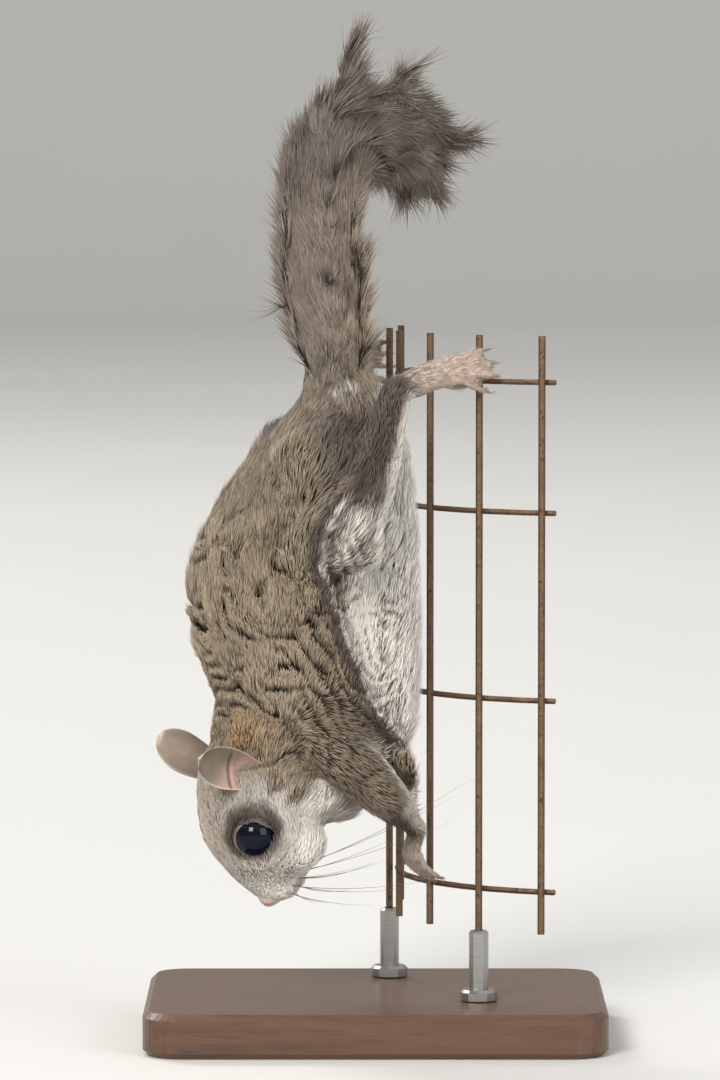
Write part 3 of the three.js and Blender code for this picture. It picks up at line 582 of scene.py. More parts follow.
# %% Sockets that do maths
class Sock:
    """A socket of a node tree. Plus, minus, times and power add a Math node for them."""

    def __init__(self, tree, socket):
        self.tree, self.socket = tree, socket

    def node(self, kind, settings=None, out=0, **inputs):
        """Adds a node, sets its settings, then its inputs. An input goes by its name, with _ for
        a space, or by i and its number."""
        node = self.tree.nodes.new(kind)
        for key, value in (settings or {}).items():
            setattr(node, key, value)
        for key, value in inputs.items():
            key = int(key[1:]) if key[0] == "i" and key[1:].isdigit() else key.replace("_", " ")
            self.link(value, node.inputs[key])
        return Sock(self.tree, node.outputs[out])

    def link(self, value, target):
        """Joins a socket to target, or sets target to a plain value."""
        if isinstance(value, Sock):
            self.tree.links.new(value.socket, target)
        else:
            target.default_value = value

    def math(self, operation, a, b=0.0, clamp=False):
        """One Math node on a and b."""
        settings = {"operation": operation, "use_clamp": clamp}
        return self.node("ShaderNodeMath", settings, i0=a, i1=b)

    def __add__(self, other):
        return self.math("ADD", self, other)

    def __radd__(self, other):
        return self.math("ADD", other, self)

    def __sub__(self, other):
        return self.math("SUBTRACT", self, other)

    def __rsub__(self, other):
        return self.math("SUBTRACT", other, self)

    def __mul__(self, other):
        return self.math("MULTIPLY", self, other)

    def __rmul__(self, other):
        return self.math("MULTIPLY", other, self)

    def __pow__(self, other):
        return self.math("POWER", self, other)

    def clamp(self):
        """Cuts off what is below 0 and above 1."""
        return self.math("ADD", self, 0.0, clamp=True)

    def mix(self, low, high):
        """Goes from colour low to colour high as this socket goes from 0 to 1."""
        return self.node("ShaderNodeMix", {"data_type": "RGBA"}, out=2, i0=self, i6=low, i7=high)


print("sockets can do:", [name for name in vars(Sock) if name.startswith("__r")])

# %% [markdown]
# A finish is one material with its own shader. What is the same all over is set on the shader's
# own socket, and what changes over the surface is fed to it. Patterns are read at the object's
# own coordinates, in metres, so a scale of 1000 makes spots about a millimetre wide.


# %% Finishes
def rgb(text):
    """A colour written as six hex digits, turned from screen values into light values."""
    parts = [int(text[k : k + 2], 16) / 255 for k in (0, 2, 4)]
    return (*[p / 12.92 if p <= 0.04045 else ((p + 0.055) / 1.055) ** 2.4 for p in parts], 1.0)


class Finish:
    """One material: its shader, its coordinates and a starting socket for sums."""

    def __init__(self, name, **plain):
        self.material = bpy.data.materials.new(name)
        self.material.use_nodes = True
        self.tree = self.material.node_tree
        self.shader = self.tree.nodes["Principled BSDF"]
        for key, value in plain.items():
            self.shader.inputs[key.replace("_", " ")].default_value = value
        self.start = Sock(self.tree, None)
        self.place = self.start.node("ShaderNodeTexCoord", out=3)

    def attribute(self, name):
        """The number that the mesh carries under this name."""
        return self.start.node("ShaderNodeAttribute", {"attribute_name": name}, out=2)

    def noise(self, scale, detail=3.0, rough=0.55, place=None):
        """Cloudy values from 0 to 1, with scale spots to the metre."""
        vector = self.place if place is None else place
        return self.start.node(
            "ShaderNodeTexNoise", Vector=vector, Scale=scale, Detail=detail, Roughness=rough
        )

    def stretched(self, scale):
        """The object's own coordinates, stretched along the axes."""
        return self.start.node("ShaderNodeMapping", Vector=self.place, Scale=scale)

    def feed(self, **inputs):
        """Links sockets to the shader, each to the input of its name."""
        for key, value in inputs.items():
            self.start.link(value, self.shader.inputs[key.replace("_", " ")])

    def bump(self, height, strength, distance):
        """Dents the light by height, as if the surface rose by distance, in metres."""
        sizes = {"Height": height, "Strength": strength, "Distance": distance}
        self.feed(Normal=self.start.node("ShaderNodeBump", **sizes))


print("a mid grey is", rgb("808080")[0])

# %% [markdown]
# The coat and the skin share one recipe of colours. A hair is slate at its root and buff, grey or
# white at its tip. Each marking mask carries the colour one step further, and two sizes of noise
# keep any patch from being flat.


# %% The colours of the coat
def coat_colour(finish, tip):
    """The coat's colour where tip runs from 0 at a root to 1 at a tip."""
    names = ("pale", "grey", "dark", "warm", "bare")
    pale, grey, dark, warm, bare = (finish.attribute(name) for name in names)
    broad = finish.noise(95, 2)
    small = finish.noise(620, 2)
    back = broad.mix(rgb("978775"), rgb("c9b79c"))
    ash = broad.mix(rgb("887c73"), rgb("aea195"))
    tips = grey.mix(back, ash)
    tips = warm.mix(tips, rgb("cba06a"))
    tips = dark.mix(tips, rgb("463a34"))
    tips = pale.mix(tips, broad.mix(rgb("e4ddd2"), rgb("f7f3ed")))
    roots = pale.mix(grey.mix(rgb("29231f"), rgb("5a504a")), rgb("d6cdc2"))
    colour = tip.mix(roots, tips)
    flecks = ((small * 0.5 - 0.12) * (1 - pale * 0.85)).clamp()
    colour = flecks.mix(colour, tip.mix(roots, rgb("5b4d40")))
    return bare.mix(colour, small.mix(rgb("96867a"), rgb("c2b3a6")))


coat = Finish("coat_hair", Roughness=0.62, Specular_IOR_Level=0.25)
rise = coat.attribute("along")
tone_and_crack_shade = coat.attribute("tone_and_crack_shade")
colour = coat_colour(coat, ((rise - 0.16) * 1.7).clamp() ** 1.2)
# Each tuft is mixed towards near black by its tone: partly a random tone, partly painted shade
# where its root stands in a crack.
shade = tone_and_crack_shade * 0.5 * (1 - coat.attribute("bare") * 0.8) * (1 - coat.attribute("pale") * 0.75)
colour = shade.clamp().mix(colour, (0.03, 0.024, 0.02, 1))
coat.feed(Base_Color=colour, Roughness=0.5 + 0.25 * coat.noise(300, 2))

skin_finish = Finish("skin", Roughness=0.6, Specular_IOR_Level=0.3)
bare = skin_finish.attribute("bare")
lined = skin_finish.noise(900, 3)
under_coat = coat_colour(skin_finish, skin_finish.noise(400, 3) * 0.28)
pink = skin_finish.noise(260, 4).mix(rgb("937c6f"), rgb("c0ac9e"))
skin_colour = (bare * 2.2).clamp().mix(under_coat, pink)
skin_finish.feed(Base_Color=skin_colour, Roughness=0.45 + 0.3 * lined)
skin_finish.bump(lined + 0.6 * skin_finish.noise(2400, 2), 0.5, 0.0004)
print("coat nodes:", len(coat.tree.nodes), "skin nodes:", len(skin_finish.tree.nodes))

# %% [markdown]
# The skin goes in as one piece. It stands for every soft node of the frame.

# %% The skin piece
skin = make_mesh("skin", to_world(skin_points), skin_quads)
for name, values in marks.items():
    put_attribute(skin, name, values)
finish_piece(skin, skin_finish.material, SOFT)

# %% [markdown]
# A coat of solid tufts could be grown by a hair system, but that kind of hair is lost when a model
# is exported. Here each tuft is its own small closed blade: three corners at the root, three at the
# bend and one at the tip. First come the blade's own pattern and the sowing of roots, as many on
# each quad of the skin as its area asks.

# %% The blade and the sowing
BLADE = np.array([[-1, 0, 0], [1, 0, 0], [0, 0, 0.7]])
LOWER_WALLS = [[0, 1, 4], [0, 4, 3], [1, 2, 5], [1, 5, 4], [2, 0, 3], [2, 3, 5]]
UPPER_WALLS = [[3, 4, 6], [4, 5, 6], [5, 3, 6]]
BLADE_FACES = np.array([*LOWER_WALLS, *UPPER_WALLS, [0, 2, 1]])
BLADE_ALONG = np.array([0, 0, 0, 0.5, 0.5, 0.5, 1.0])
BEND_ALONG, BEND_HIGH = 0.42, 0.78  # the bend's share of the run and of the rise
ROOT_SUNK = 0.12  # millimetres that a root goes into the skin
PATCH = np.array([[-1, -1], [1, -1], [0, -0.6], [-0.9, 0.1], [0.9, 0.1], [0, 0.4], [0, 1]])
PATCH = 0.0015 * PATCH  # half a patch's width on the map

quad_corners = skin_points[skin_quads]
one_diagonal = quad_corners[:, 2] - quad_corners[:, 0]
other_diagonal = quad_corners[:, 3] - quad_corners[:, 1]
quad_area = 0.5 * np.linalg.norm(np.cross(one_diagonal, other_diagonal), axis=1)
quad_owner = owner[skin_quads[:, 0]]
quad_centre = quad_corners.mean(1)


def sow(faces, number):
    """Random places on some quads, as many on each as its area asks, as corner weights."""
    area = quad_area[faces]
    chosen = faces[rng.choice(len(faces), number, p=area / area.sum())]
    s, t = rng.random((2, number))
    weights = np.stack([(1 - s) * (1 - t), s * (1 - t), s * t, (1 - s) * t], 1)
    return chosen, weights


def spread(values, chosen, weights):
    """Values on the skin's points carried to sown places: the corners' mean by their weights."""
    corners = values[skin_quads[chosen]]
    return (corners * (weights if corners.ndim == 2 else weights[:, :, None])).sum(1)


print("skin area:", (quad_area.sum() / 100).round(), "square centimetres")

# %% [markdown]
# The back's coat opens in short cross cracks where the animal bends. A crack is a place in a wave
# along the body, pushed about by noise: a tuft stops short of the next crack, so the slate roots
# of the tufts beyond it show. Two waves that cross at a slant take turns, so the cracks branch.

# %% Cracks in the coat
CRACK_GAP = 4.6  # millimetres


def crack_room(p):
    """How much of its length a tuft may use before it meets the next crack, and how strong the
    cracks are there. The wave's place is height over the gap, plus noise."""
    x, _, z = p.T
    push = 1.15 * noise(p, 9.5, 5) + 0.42 * noise(p, 3.4, 6)
    level = (z - 0.3 * x) / CRACK_GAP + push
    slanted = (0.8 * z + 0.95 * x) / (0.9 * CRACK_GAP) + push
    wave = np.where(noise(p, 11, 21) + 0.25 * ramp(x, -92, -80) > 0.12, slanted, level)
    left_over = (np.ceil(wave) - wave) * CRACK_GAP
    where = ramp(z, 56, 64) * ramp(z, 134, 108) * ramp(x, -60, -68)
    patch = ramp(noise(p, 4.8, 8) + 0.62 * ramp(z, 128, 92) - 0.08, 0.0, 0.25)
    return left_over, where * patch


print("cracked share of the skin:", crack_room(skin_points)[1].mean().round(2))

# %% [markdown]
# A bake writes a material's colours to a picture, so each tuft needs a place there. The skin is
# unrolled as a label comes off a tin, and every tuft gets a tiny patch at its own root's place.
# Tufts that grow side by side then share a colour, and far ones don't mix.


# %% The bake's map
def put_bake_map(piece, root, node_number):
    """The bake's map: the skin unrolled round each part's own long axis. The angle round the axis
    runs across and the place along it runs up, each part in its own column."""
    owners = np.unique(node_number)
    centre_uv = np.zeros((len(root), 2))
    for column, number in enumerate(owners):
        mine = node_number == number
        p = root[mine]
        middle = p.mean(0)
        axis = unit(ways[number][None])[0] if np.any(ways[number]) else np.array([0.2, 0.1, 1.0])
        axis = axis / np.linalg.norm(axis)
        first = unit(np.cross(axis, [0.3, 1, 0.2])[None])[0]
        second = np.cross(axis, first)
        angle = np.arctan2((p - middle) @ second, (p - middle) @ first) / (2 * math.pi) + 0.5
        along = (p - middle) @ axis
        along = (along - along.min()) / max(np.ptp(along), 1e-6)
        centre_uv[mine, 0] = (column + 0.02 + 0.96 * angle) / len(owners)
        centre_uv[mine, 1] = 0.01 + 0.98 * along
    uv = (centre_uv[:, None] + PATCH)[:, BLADE_FACES.ravel()].reshape(-1, 2)
    layer = piece.data.uv_layers.new(name="OFBake")
    layer.data.foreach_set("uv", uv.astype(np.float32).ravel())


print("a patch is", np.ptp(PATCH, axis=0).round(4), "across")

# %% [markdown]
# Growing puts the pieces together. All tufts of a region are worked out at once as arrays. Each
# rises from its root, bends over and lies along the coat, with a swing that noise shares between
# neighbours, so that the coat parts into strands.


# %% Growing tufts
def grow(name, faces, number, fullness=1.0):
    """One coat piece. A tuft's run is what its length leaves after its rise, by Pythagoras. Its
    bend lies under half the run along the lie and most of the rise up, and its tip lies the
    whole run and the whole rise on. Tufts that end at a crack on the back's outline stand up
    higher."""
    chosen, weights = sow(faces, number)
    root, up, way = (spread(v, chosen, weights) for v in (skin_points, normal, lie))
    deep, long, wide = (spread(v, chosen, weights) for v in (depth, length, width))
    up, way = unit(up), unit(way)
    across = np.cross(up, way)
    swing = 0.34 * noise(root, 5.5, 11) + 0.22 * noise(root, 2.1, 12) + rng.normal(0, 0.12, number)
    way = way * np.cos(swing)[:, None] + across * np.sin(swing)[:, None]
    across = np.cross(up, way)
    long = long * rng.uniform(0.72, 1.12, number)
    left_over, cracked = crack_room(root)
    past = rng.uniform(0.5, 1.9, number)
    long = long * (1 - cracked) + np.clip(left_over + past, 1.6, long) * cracked
    rise = deep * rng.uniform(0.62, 1.08, number) * fullness
    lip = ramp(left_over, 2.4, 0.8) * ramp(root[:, 0], -95, -100) * cracked
    rise = rise * (1 + 0.22 * noise(root, 3.0, 14))
    rise = rise * (1 - 0.3 * cracked) * (1 + 0.7 * lip)
    rise = np.minimum(np.maximum(rise, 0.1 * long), 0.85 * long)
    run = np.sqrt(np.maximum(long**2 - rise**2, 0.04))
    bend = root + way * (BEND_ALONG * run)[:, None] + up * (BEND_HIGH * rise)[:, None]
    tip = root + way * run[:, None] + up * rise[:, None]
    wide = wide * rng.uniform(0.75, 1.25, number)
    section = np.einsum("kc,ncd->nkd", BLADE, np.stack([across, way, up], 1))
    base = root[:, None] + section * (wide / 2)[:, None, None]
    base = base - (up * ROOT_SUNK)[:, None]
    knee = bend[:, None] + section * (wide * 0.42)[:, None, None]
    points = np.concatenate([base, knee, tip[:, None]], 1)
    tuft_faces = (np.arange(number)[:, None, None] * 7 + BLADE_FACES).reshape(-1, 3)
    piece = make_mesh(name, to_world(points.reshape(-1, 3)), tuft_faces)
    for mark, values in marks.items():
        put_attribute(piece, mark, np.repeat(spread(values, chosen, weights), 7))
    put_attribute(piece, "along", np.tile(BLADE_ALONG, number))
    tone_and_crack_shade = np.clip(rng.normal(0.26, 0.36, number) + 0.35 * noise(root, 1.6, 15), 0, 1)
    # Tufts that start right at a crack get darker still: painted shade in the crack.
    tone_and_crack_shade = np.clip(tone_and_crack_shade + 0.5 * cracked * ramp(left_over, 3.4, 4.6), 0, 1)
    put_attribute(piece, "tone_and_crack_shade", np.repeat(tone_and_crack_shade, 7))
    put_bake_map(piece, root, quad_owner[chosen])
    return finish_piece(piece, coat.material)


print("a tuft has", len(BLADE_FACES), "triangles")

# %% [markdown]
# The coat is cut into pieces by region, and each keeps under two hundred thousand triangles. The
# face and the paws have the finest tufts, and the tail has the longest.

# %% The coat
quad_part = part_of[quad_owner]
leftish = quad_centre[:, 1] < 0
belly_side = quad_centre[:, 0] > -70
to_eye = np.linalg.norm(quad_centre - beside(EYE_CENTRE, quad_centre[:, 1]), axis=1)
to_nose = np.linalg.norm(quad_centre - NOSE_TIP, axis=1)
bare_spot = (to_eye < EYE_RADIUS + 0.5) | (to_nose < 3.0)
torso, head = quad_part == "torso", (quad_part == "head") & ~bare_spot
tail_quads = np.char.startswith(quad_part, "tail")
front_limbs = np.isin(quad_part, ["upper_arm", "forearm", "hand"])
hind_limbs = np.isin(quad_part, ["thigh", "shank", "foot"])
REGIONS = [
    ("coat_head_left", head & leftish, 13000, "back_fur"),
    ("coat_head_right", head & ~leftish, 11000, "back_fur"),
    ("coat_neck", quad_part == "neck", 13000, "back_fur"),
    ("coat_back_left", torso & leftish & ~belly_side, 19000, "back_fur"),
    ("coat_back_right", torso & ~leftish & ~belly_side, 15000, "back_fur"),
    ("coat_belly", torso & belly_side, 14000, "back_fur"),
    ("coat_arms", front_limbs, 9000, "limb_fur"),
    ("coat_legs", hind_limbs, 13000, "limb_fur"),
    ("coat_membranes", quad_part == "membrane", 9000, "membrane_fur"),
    ("coat_tail_base", quad_part == "tail_base", 15000, "tail_fur"),
    ("coat_tail_end", tail_quads & (quad_part != "tail_base"), 19500, "tail_fur"),
]
for name, mask, number, slot in REGIONS:
    grow(name, np.flatnonzero(mask), number, 1.35 if name == "coat_belly" else 1.0)

# %% [markdown]
# The hard and bare parts are surfaces over two numbers. A grid of points closes round one way
# and ends in flat caps the other way, so a ball, an ear, a nose, a whisker and a claw all come
# from one recipe. A shell that came out with its faces inward is turned round.


# %% Closed grids, balls and tubes
def outward(points, quads):
    """The quads turned round if their shell has a negative volume, so that they face out. The
    volume is the sum of each corner dotted with the cross product of the next two, over six."""
    a, b, c, d = (points[quads[:, k]] for k in range(4))
    volume = (a * (np.cross(b, c) + np.cross(c, d))).sum()
    return quads if volume > 0 else quads[:, ::-1]


def close_grid(p):
    """A grid that closes round its second way, with a flat end of quads on its first and its last
    ring. A ring has an even number of points, and each end quad joins two pairs across it."""
    rows, cols, _ = p.shape
    r, c = np.meshgrid(np.arange(rows - 1), np.arange(cols), indexing="ij")
    a, b = r * cols + c, r * cols + (c + 1) % cols
    quads = np.stack([a.ravel(), b.ravel(), (b + cols).ravel(), (a + cols).ravel()], 1)
    i = np.arange(cols // 2 - 1)
    end = np.stack([i, i + 1, cols - 2 - i, cols - 1 - i], 1)
    points = p.reshape(-1, 3)
    quads = np.concatenate([quads, end[:, ::-1], end + (rows - 1) * cols])
    return points, outward(points, quads)


def ball_grid(axis, rows=36, cols=64):
    """A ball of radius one about the origin. Rows run from pole to pole along the axis."""
    side_way = unit(np.cross(axis, [0, 0, 1])[None])[0]
    up_way = np.cross(side_way, axis)
    v = np.linspace(0.012, np.pi - 0.012, rows)[:, None, None]
    w = np.linspace(0, 2 * np.pi, cols, endpoint=False)[None, :, None]
    return np.cos(v) * axis + np.sin(v) * (np.cos(w) * side_way + np.sin(w) * up_way)


def tube(path, radii, sides, closed=False):
    """A round tube along a path: at each point a ring square to the way, of that point's radius."""
    path = np.asarray(path, float)
    way = np.roll(path, -1, 0) - np.roll(path, 1, 0) if closed else np.gradient(path, axis=0)
    way = unit(way)
    helper = np.where(np.abs(way[:, 2:3]) > 0.9, [[1.0, 0, 0]], [[0, 0, 1.0]])
    one = unit(np.cross(way, helper))
    two = np.cross(way, one)
    angle = np.linspace(0, 2 * np.pi, sides, endpoint=False)
    ring = np.cos(angle)[None, :, None] * one[:, None] + np.sin(angle)[None, :, None] * two[:, None]
    points = path[:, None] + ring * np.broadcast_to(radii, len(path))[:, None, None]
    if not closed:
        return close_grid(points)
    rows, cols = np.meshgrid(np.arange(len(path)), np.arange(sides), indexing="ij")
    row, next_row = rows * sides, (rows + 1) % len(path) * sides
    next_col = (cols + 1) % sides
    corners = (row + cols, row + next_col, next_row + next_col, next_row + cols)
    quads = np.stack([corner.ravel() for corner in corners], 1)
    return points.reshape(-1, 3), outward(points.reshape(-1, 3), quads)


def join_shells(shells):
    """Several (points, quads) as one."""
    shift = np.cumsum([0] + [len(p) for p, _ in shells[:-1]])
    return (
        np.concatenate([p for p, _ in shells]),
        np.concatenate([f + s for (_, f), s in zip(shells, shift, strict=True)]),
    )


def shell_piece(name, shell, finish, replaces=()):
    """A finished piece from a shell, given as its points and its quads."""
    piece = make_mesh(name, to_world(shell[0]), shell[1])
    return finish_piece(piece, finish.material, replaces)


print("a ball of", len(ball_grid(EYE_AXIS)), "rings")

# %% [markdown]
# An eye is a wet dark ball, so it needs almost no colour: the shine does the work. Its lid is a
# thin dark rim, a tube carried round the eye where the ball meets the skin.

# %% Eyes and lids
eye_finish = Finish("eye", Roughness=0.05, IOR=1.27)
depth_tint = eye_finish.noise(140, 2).mix(rgb("04050b"), rgb("0c1222"))
eye_finish.feed(Base_Color=depth_tint)
lid_finish = Finish("lid", Roughness=0.4)
lid_finish.feed(Base_Color=lid_finish.noise(700, 2).mix(rgb("5c4d44"), rgb("8c7c70")))
LID_RADIUS = 4.45

for side_name, sign in (("left", -1), ("right", 1)):
    grid = EYE_CENTRE * [1, sign, 1] + EYE_RADIUS * ball_grid(EYE_AXIS * [1, sign, 1])
    ball = close_grid(grid)
    shell_piece(f"eye_ball_{side_name}", ball, eye_finish, [f"eye_{side_name}"])

for side_name, sign in (("left", -1), ("right", 1)):
    axis = EYE_AXIS * [1, sign, 1]
    across = unit(np.cross(axis, [0, 0, 1])[None])[0]
    upward = np.cross(across, axis)
    angle = np.linspace(0, 2 * np.pi, 48, endpoint=False)
    rim = LID_RADIUS + 0.12 * np.cos(2 * angle)
    out = np.sqrt(EYE_RADIUS**2 - rim**2)
    path = EYE_CENTRE * [1, sign, 1] + axis * out[:, None]
    path = path + rim[:, None] * (np.cos(angle)[:, None] * across + np.sin(angle)[:, None] * upward)
    lid = tube(path, 0.34 + 0.08 * np.sin(angle), 10, closed=True)
    shell_piece(f"lid_{side_name}", lid, lid_finish)

# %% [markdown]
# The ears are thin cups. Each is a sheet over two numbers, one from root to tip and one from rim
# to rim, bowed in the middle, with a second sheet behind it and a rounded rim between the two.

# %% Ears
EARS = {
    "left": (np.array([-95.6, -9.4, 62.6]), np.array([-13.8, -2.0, 4.4]), -1),
    "right": (np.array([-95.6, 9.4, 62.6]), np.array([-12.6, 1.4, 7.0]), 1),
}
EAR_LONG, EAR_HALF_WIDE, EAR_DEEP, EAR_THICK = 15.8, 4.9, 3.0, 0.62


def ear_fold(u, w, at, wide):
    """A bell across the crease that crosses the cup a third of the way out. It bends the ear's
    sheet, and it also places the painted shade along the crease.
    """
    return np.exp(-(((u - at - 0.12 * w) / wide) ** 2)) * ramp(w, 0.95, 0.5)


def ear_sheet(root, tip_way, sign, rows=36, cols=30):
    """An ear. Width is the half breadth times a round end, and the hollow is one minus the square
    of the place across, deepest near the root. The back wall follows behind by the thickness."""
    way = tip_way / np.linalg.norm(tip_way)
    out = np.array([0, sign, -0.25]) / np.linalg.norm([0, 1, 0.25])
    over = unit(np.cross(way, out)[None])[0]
    out = np.cross(over, way)
    v = np.linspace(0, 2 * np.pi, 2 * cols, endpoint=False)
    u = np.linspace(0, 1, rows)[:, None]
    w = np.cos(v)[None]
    round_end = np.sqrt(np.clip(1 - np.clip((u - 0.5) / 0.5, 0, 1) ** 2.2, 0, 1))
    half = EAR_HALF_WIDE * round_end
    half = half * (0.66 + 0.34 * np.sin(np.pi * np.minimum(u, 0.6) / 1.2)) + 0.02
    hollow = EAR_DEEP * (1.15 - 0.75 * u) * (1 - w**2)
    thick = EAR_THICK * (1.3 - 0.7 * u) * np.sin(v)[None] * np.clip((1 - u) * 9, 0.08, 1)
    front = np.clip(np.sin(v)[None] * 3, 0, 1)
    ripple = 0.16 * np.sin(9 * u + 3 * w) * (1 - u) + 0.5 * ear_fold(u, w, 0.36, 0.05) * front
    p = root + way * (EAR_LONG * u - 1.5)[..., None] + over * (half * w)[..., None]
    return p + out * (1.6 - hollow + thick * 0.55 + ripple)[..., None]


ear_finish = Finish("ear_skin", Roughness=0.55, Specular_IOR_Level=0.3)
ear_rim_highlight, inner = ear_finish.attribute("rim"), ear_finish.attribute("inner")
outer_part, fold_shade = ear_finish.attribute("outer_part"), ear_finish.attribute("fold_shade")
veins = ear_finish.noise(420, 4)
ear_back = veins.mix(rgb("74675c"), rgb("938476"))
ear_far = veins.mix(rgb("665a51"), rgb("857669"))
ear_front = outer_part.mix(veins.mix(rgb("9a7b70"), rgb("ba9b90")), ear_far)
# A dark line along the ear's crease: painted shade in the fold.
ear_base = inner.mix(ear_back, fold_shade.mix(ear_front, rgb("4a3a33")))
# The ear's edge and tip are painted pale: a painted highlight along the rim.
ear_finish.feed(Base_Color=(ear_rim_highlight * 0.75).mix(ear_base, rgb("c2b3a4")))
ear_finish.bump(ear_finish.noise(1500, 3), 0.35, 0.0003)
for side_name, (root, tip_way, sign) in EARS.items():
    grid = ear_sheet(root, tip_way, sign)
    points, quads = close_grid(grid)
    ear = make_mesh(f"ear_dressed_{side_name}", to_world(points), quads)
    rows, cols, _ = grid.shape
    v = np.linspace(0, 2 * np.pi, cols, endpoint=False)
    u = np.linspace(0, 1, rows)[:, None]
    across = np.cos(v)[None] + 0 * u
    front = ramp(np.sin(v)[None] + 0 * u, -0.05, 0.12)
    # The rim mask is where the painted highlight goes: the ear's edge and its tip.
    put_attribute(ear, "rim", np.maximum(ramp(np.abs(across), 0.88, 1), ramp(u, 0.92, 1)).ravel())
    put_attribute(ear, "inner", front.ravel())
    put_attribute(ear, "outer_part", ramp(u + 0.1 * across, 0.24, 0.62).ravel())
    # This mask places the painted shade in the ear's crease.
    put_attribute(ear, "fold_shade", (ear_fold(u, across, 0.43, 0.025) * front).ravel())
    finish_piece(ear, ear_finish.material, [f"ear_{side_name}"])

# %% [markdown]
# The nose is a small damp pad with two dents, drawn as a ball that is pinched in the middle. It
# has no hair, so the coat stays three millimetres away from it.

# %% Nose
NOSE_CENTRE = np.array([-86.0, 0, 32.8])
NOSE_HALF_SIZES = np.array([2.2, 2.4, 1.6])
nose_finish = Finish("nose", Roughness=0.38)
nose_finish.feed(Base_Color=nose_finish.noise(900, 3).mix(rgb("a68c7f"), rgb("cdb8aa")))
nose_finish.bump(nose_finish.noise(4200, 2), 0.4, 0.0002)


def nose_pad(rows=24, cols=36):
    """A ball squashed by three half sizes. A groove runs down its middle, and two dents lie low
    at its sides: each is a bell of distance from the nostril."""
    v = np.linspace(0.03, np.pi - 0.03, rows)[:, None]
    w = np.linspace(0, 2 * np.pi, cols, endpoint=False)[None]
    ball = np.stack([np.sin(v) * np.cos(w), np.sin(v) * np.sin(w), np.cos(v) + 0 * w], -1)
    groove = 0.18 * np.exp(-((ball[..., 1] / 0.16) ** 2)) * (ball[..., 2] < 0.4)
    nostrils = unit(np.array([[0.25, -0.62, -0.72], [0.25, 0.62, -0.72]]))
    away = np.linalg.norm(ball[..., None, :] - nostrils, axis=-1)
    dent = np.exp(-(away**2) / 0.05).sum(-1)
    size = 1 - groove - 0.42 * dent
    return NOSE_CENTRE + ball * size[..., None] * NOSE_HALF_SIZES


shell_piece("nose", close_grid(nose_pad()), nose_finish)

# %% [markdown]
# Whiskers are long stiff hairs that stand in rows on the cheeks. Each is a fine tapered tube that
# sets off sideways and bends back towards the body. Their length goes up and down with a sine,
# so that no two neighbours match.

# %% Whiskers
WHISKERS_A_SIDE, WHISKERS_A_ROW = 13, 5
whisker_finish = Finish("whisker", Roughness=0.4)
whisker_finish.feed(Base_Color=whisker_finish.noise(200, 2).mix(rgb("2a231e"), rgb("8f857a")))
shells = []
for sign in (-1, 1):
    for k in range(WHISKERS_A_SIDE):
        row, place = divmod(k, WHISKERS_A_ROW)
        outer = sign * (4.4 + 0.25 * place)
        start = np.array([-85.2 + 1.5 * row + 0.6 * place, outer, 35.2 + 1.3 * place])
        reach = 22 + 9 * math.sin(2.3 * k) + 3 * place
        back, outward_share = 0.55 - 0.34 * row + 0.1 * place, 0.75 + 0.1 * row
        aim = unit(np.array([[back, sign * outward_share, -0.25 + 0.16 * place]]))[0]
        t = np.linspace(0, 1, 10)[:, None]
        sag = np.array([0.25, 0, 0.45]) * (t**2) * reach * 0.35
        path = start + aim * t * reach + sag
        shells.append(tube(path, 0.1 * (1 - 0.85 * t[:, 0]), 6))
shell_piece("whiskers", join_shells(shells), whisker_finish)

# %% [markdown]
# A claw is a small bent cone of horn. It starts inside the end of its digit and hooks in towards
# the wire. The digits' bases and tips are the frame's own, each tip given by its angle and height
# on the round cage. A quadratic curve through three points carries the cone.

# %% Claws
CLAW_LONG = 2.4


def on_cage(radius, degrees, z):
    """A place on a circle about the cage's own upright axis."""
    angle = math.radians(degrees)
    return np.array([-radius * math.cos(angle), radius * math.sin(angle), z])


def claw(base, tip, hook):
    """The cone's middle is a quadratic curve: weights (1-t)^2, 2t(1-t) and t^2 of three points.
    Its radius falls off by one minus t to the power 1.4."""
    out = unit((tip * [1, 1, 0])[None])[0]
    knuckle = base + (tip - base) * 0.55 + out * 1.1
    way = unit((tip - knuckle)[None])[0]
    start = tip - way * 0.6
    bend = tip + way * CLAW_LONG * 0.5
    end = tip + way * CLAW_LONG * 0.62 - out * CLAW_LONG * hook
    t = np.linspace(0, 1, 9)[:, None]
    path = start * (1 - t) ** 2 + 2 * bend * t * (1 - t) + end * t**2
    return tube(path, 0.62 * (1 - 0.93 * t[:, 0] ** 1.4), 8)


# Each toe: its tip's angle and height, its base's x, y and z, and how far its claw hooks in.
TOES = [
    (23.6, 148.4, -55.4, 25.4, 149.6, 0.3),
    (29.6, 147.6, -51.4, 26.4, 150.7, 0.55),
    (32.2, 151.0, -51.4, 26.4, 152.3, 0.55),
    (31.8, 153.9, -51.4, 26.4, 153.9, 0.55),
    (29.4, 156.6, -51.4, 26.4, 155.3, 0.55),
]
shells = []
for sign, grip_angle, grip_high in ((-1, 9, 36.4), (1, 27, 61)):
    for place in (-1.5, -0.5, 0.5, 1.5):
        high = grip_high + 7 * 0.86 - 0.3 + 0.3 * abs(place)
        base = on_cage(55.2, sign * (grip_angle + place * 1.9), high)
        far = 0.9 if abs(place) > 1 else 0
        tip = on_cage(50.5, sign * (grip_angle + place * 2.3), grip_high + far)
        shells.append(claw(base, tip, 0.55))
    for angle, high, x, y, base_high, hook in TOES:
        tip = on_cage(52.6 if hook < 0.5 else 51.7, sign * angle, high)
        shells.append(claw(np.array([x, sign * y, base_high]), tip, hook))
claw_finish = Finish("claw_horn", Roughness=0.35)
claw_finish.feed(Base_Color=claw_finish.noise(500, 3).mix(rgb("5d4c40"), rgb("a8998a")))
shell_piece("claws", join_shells(shells), claw_finish)

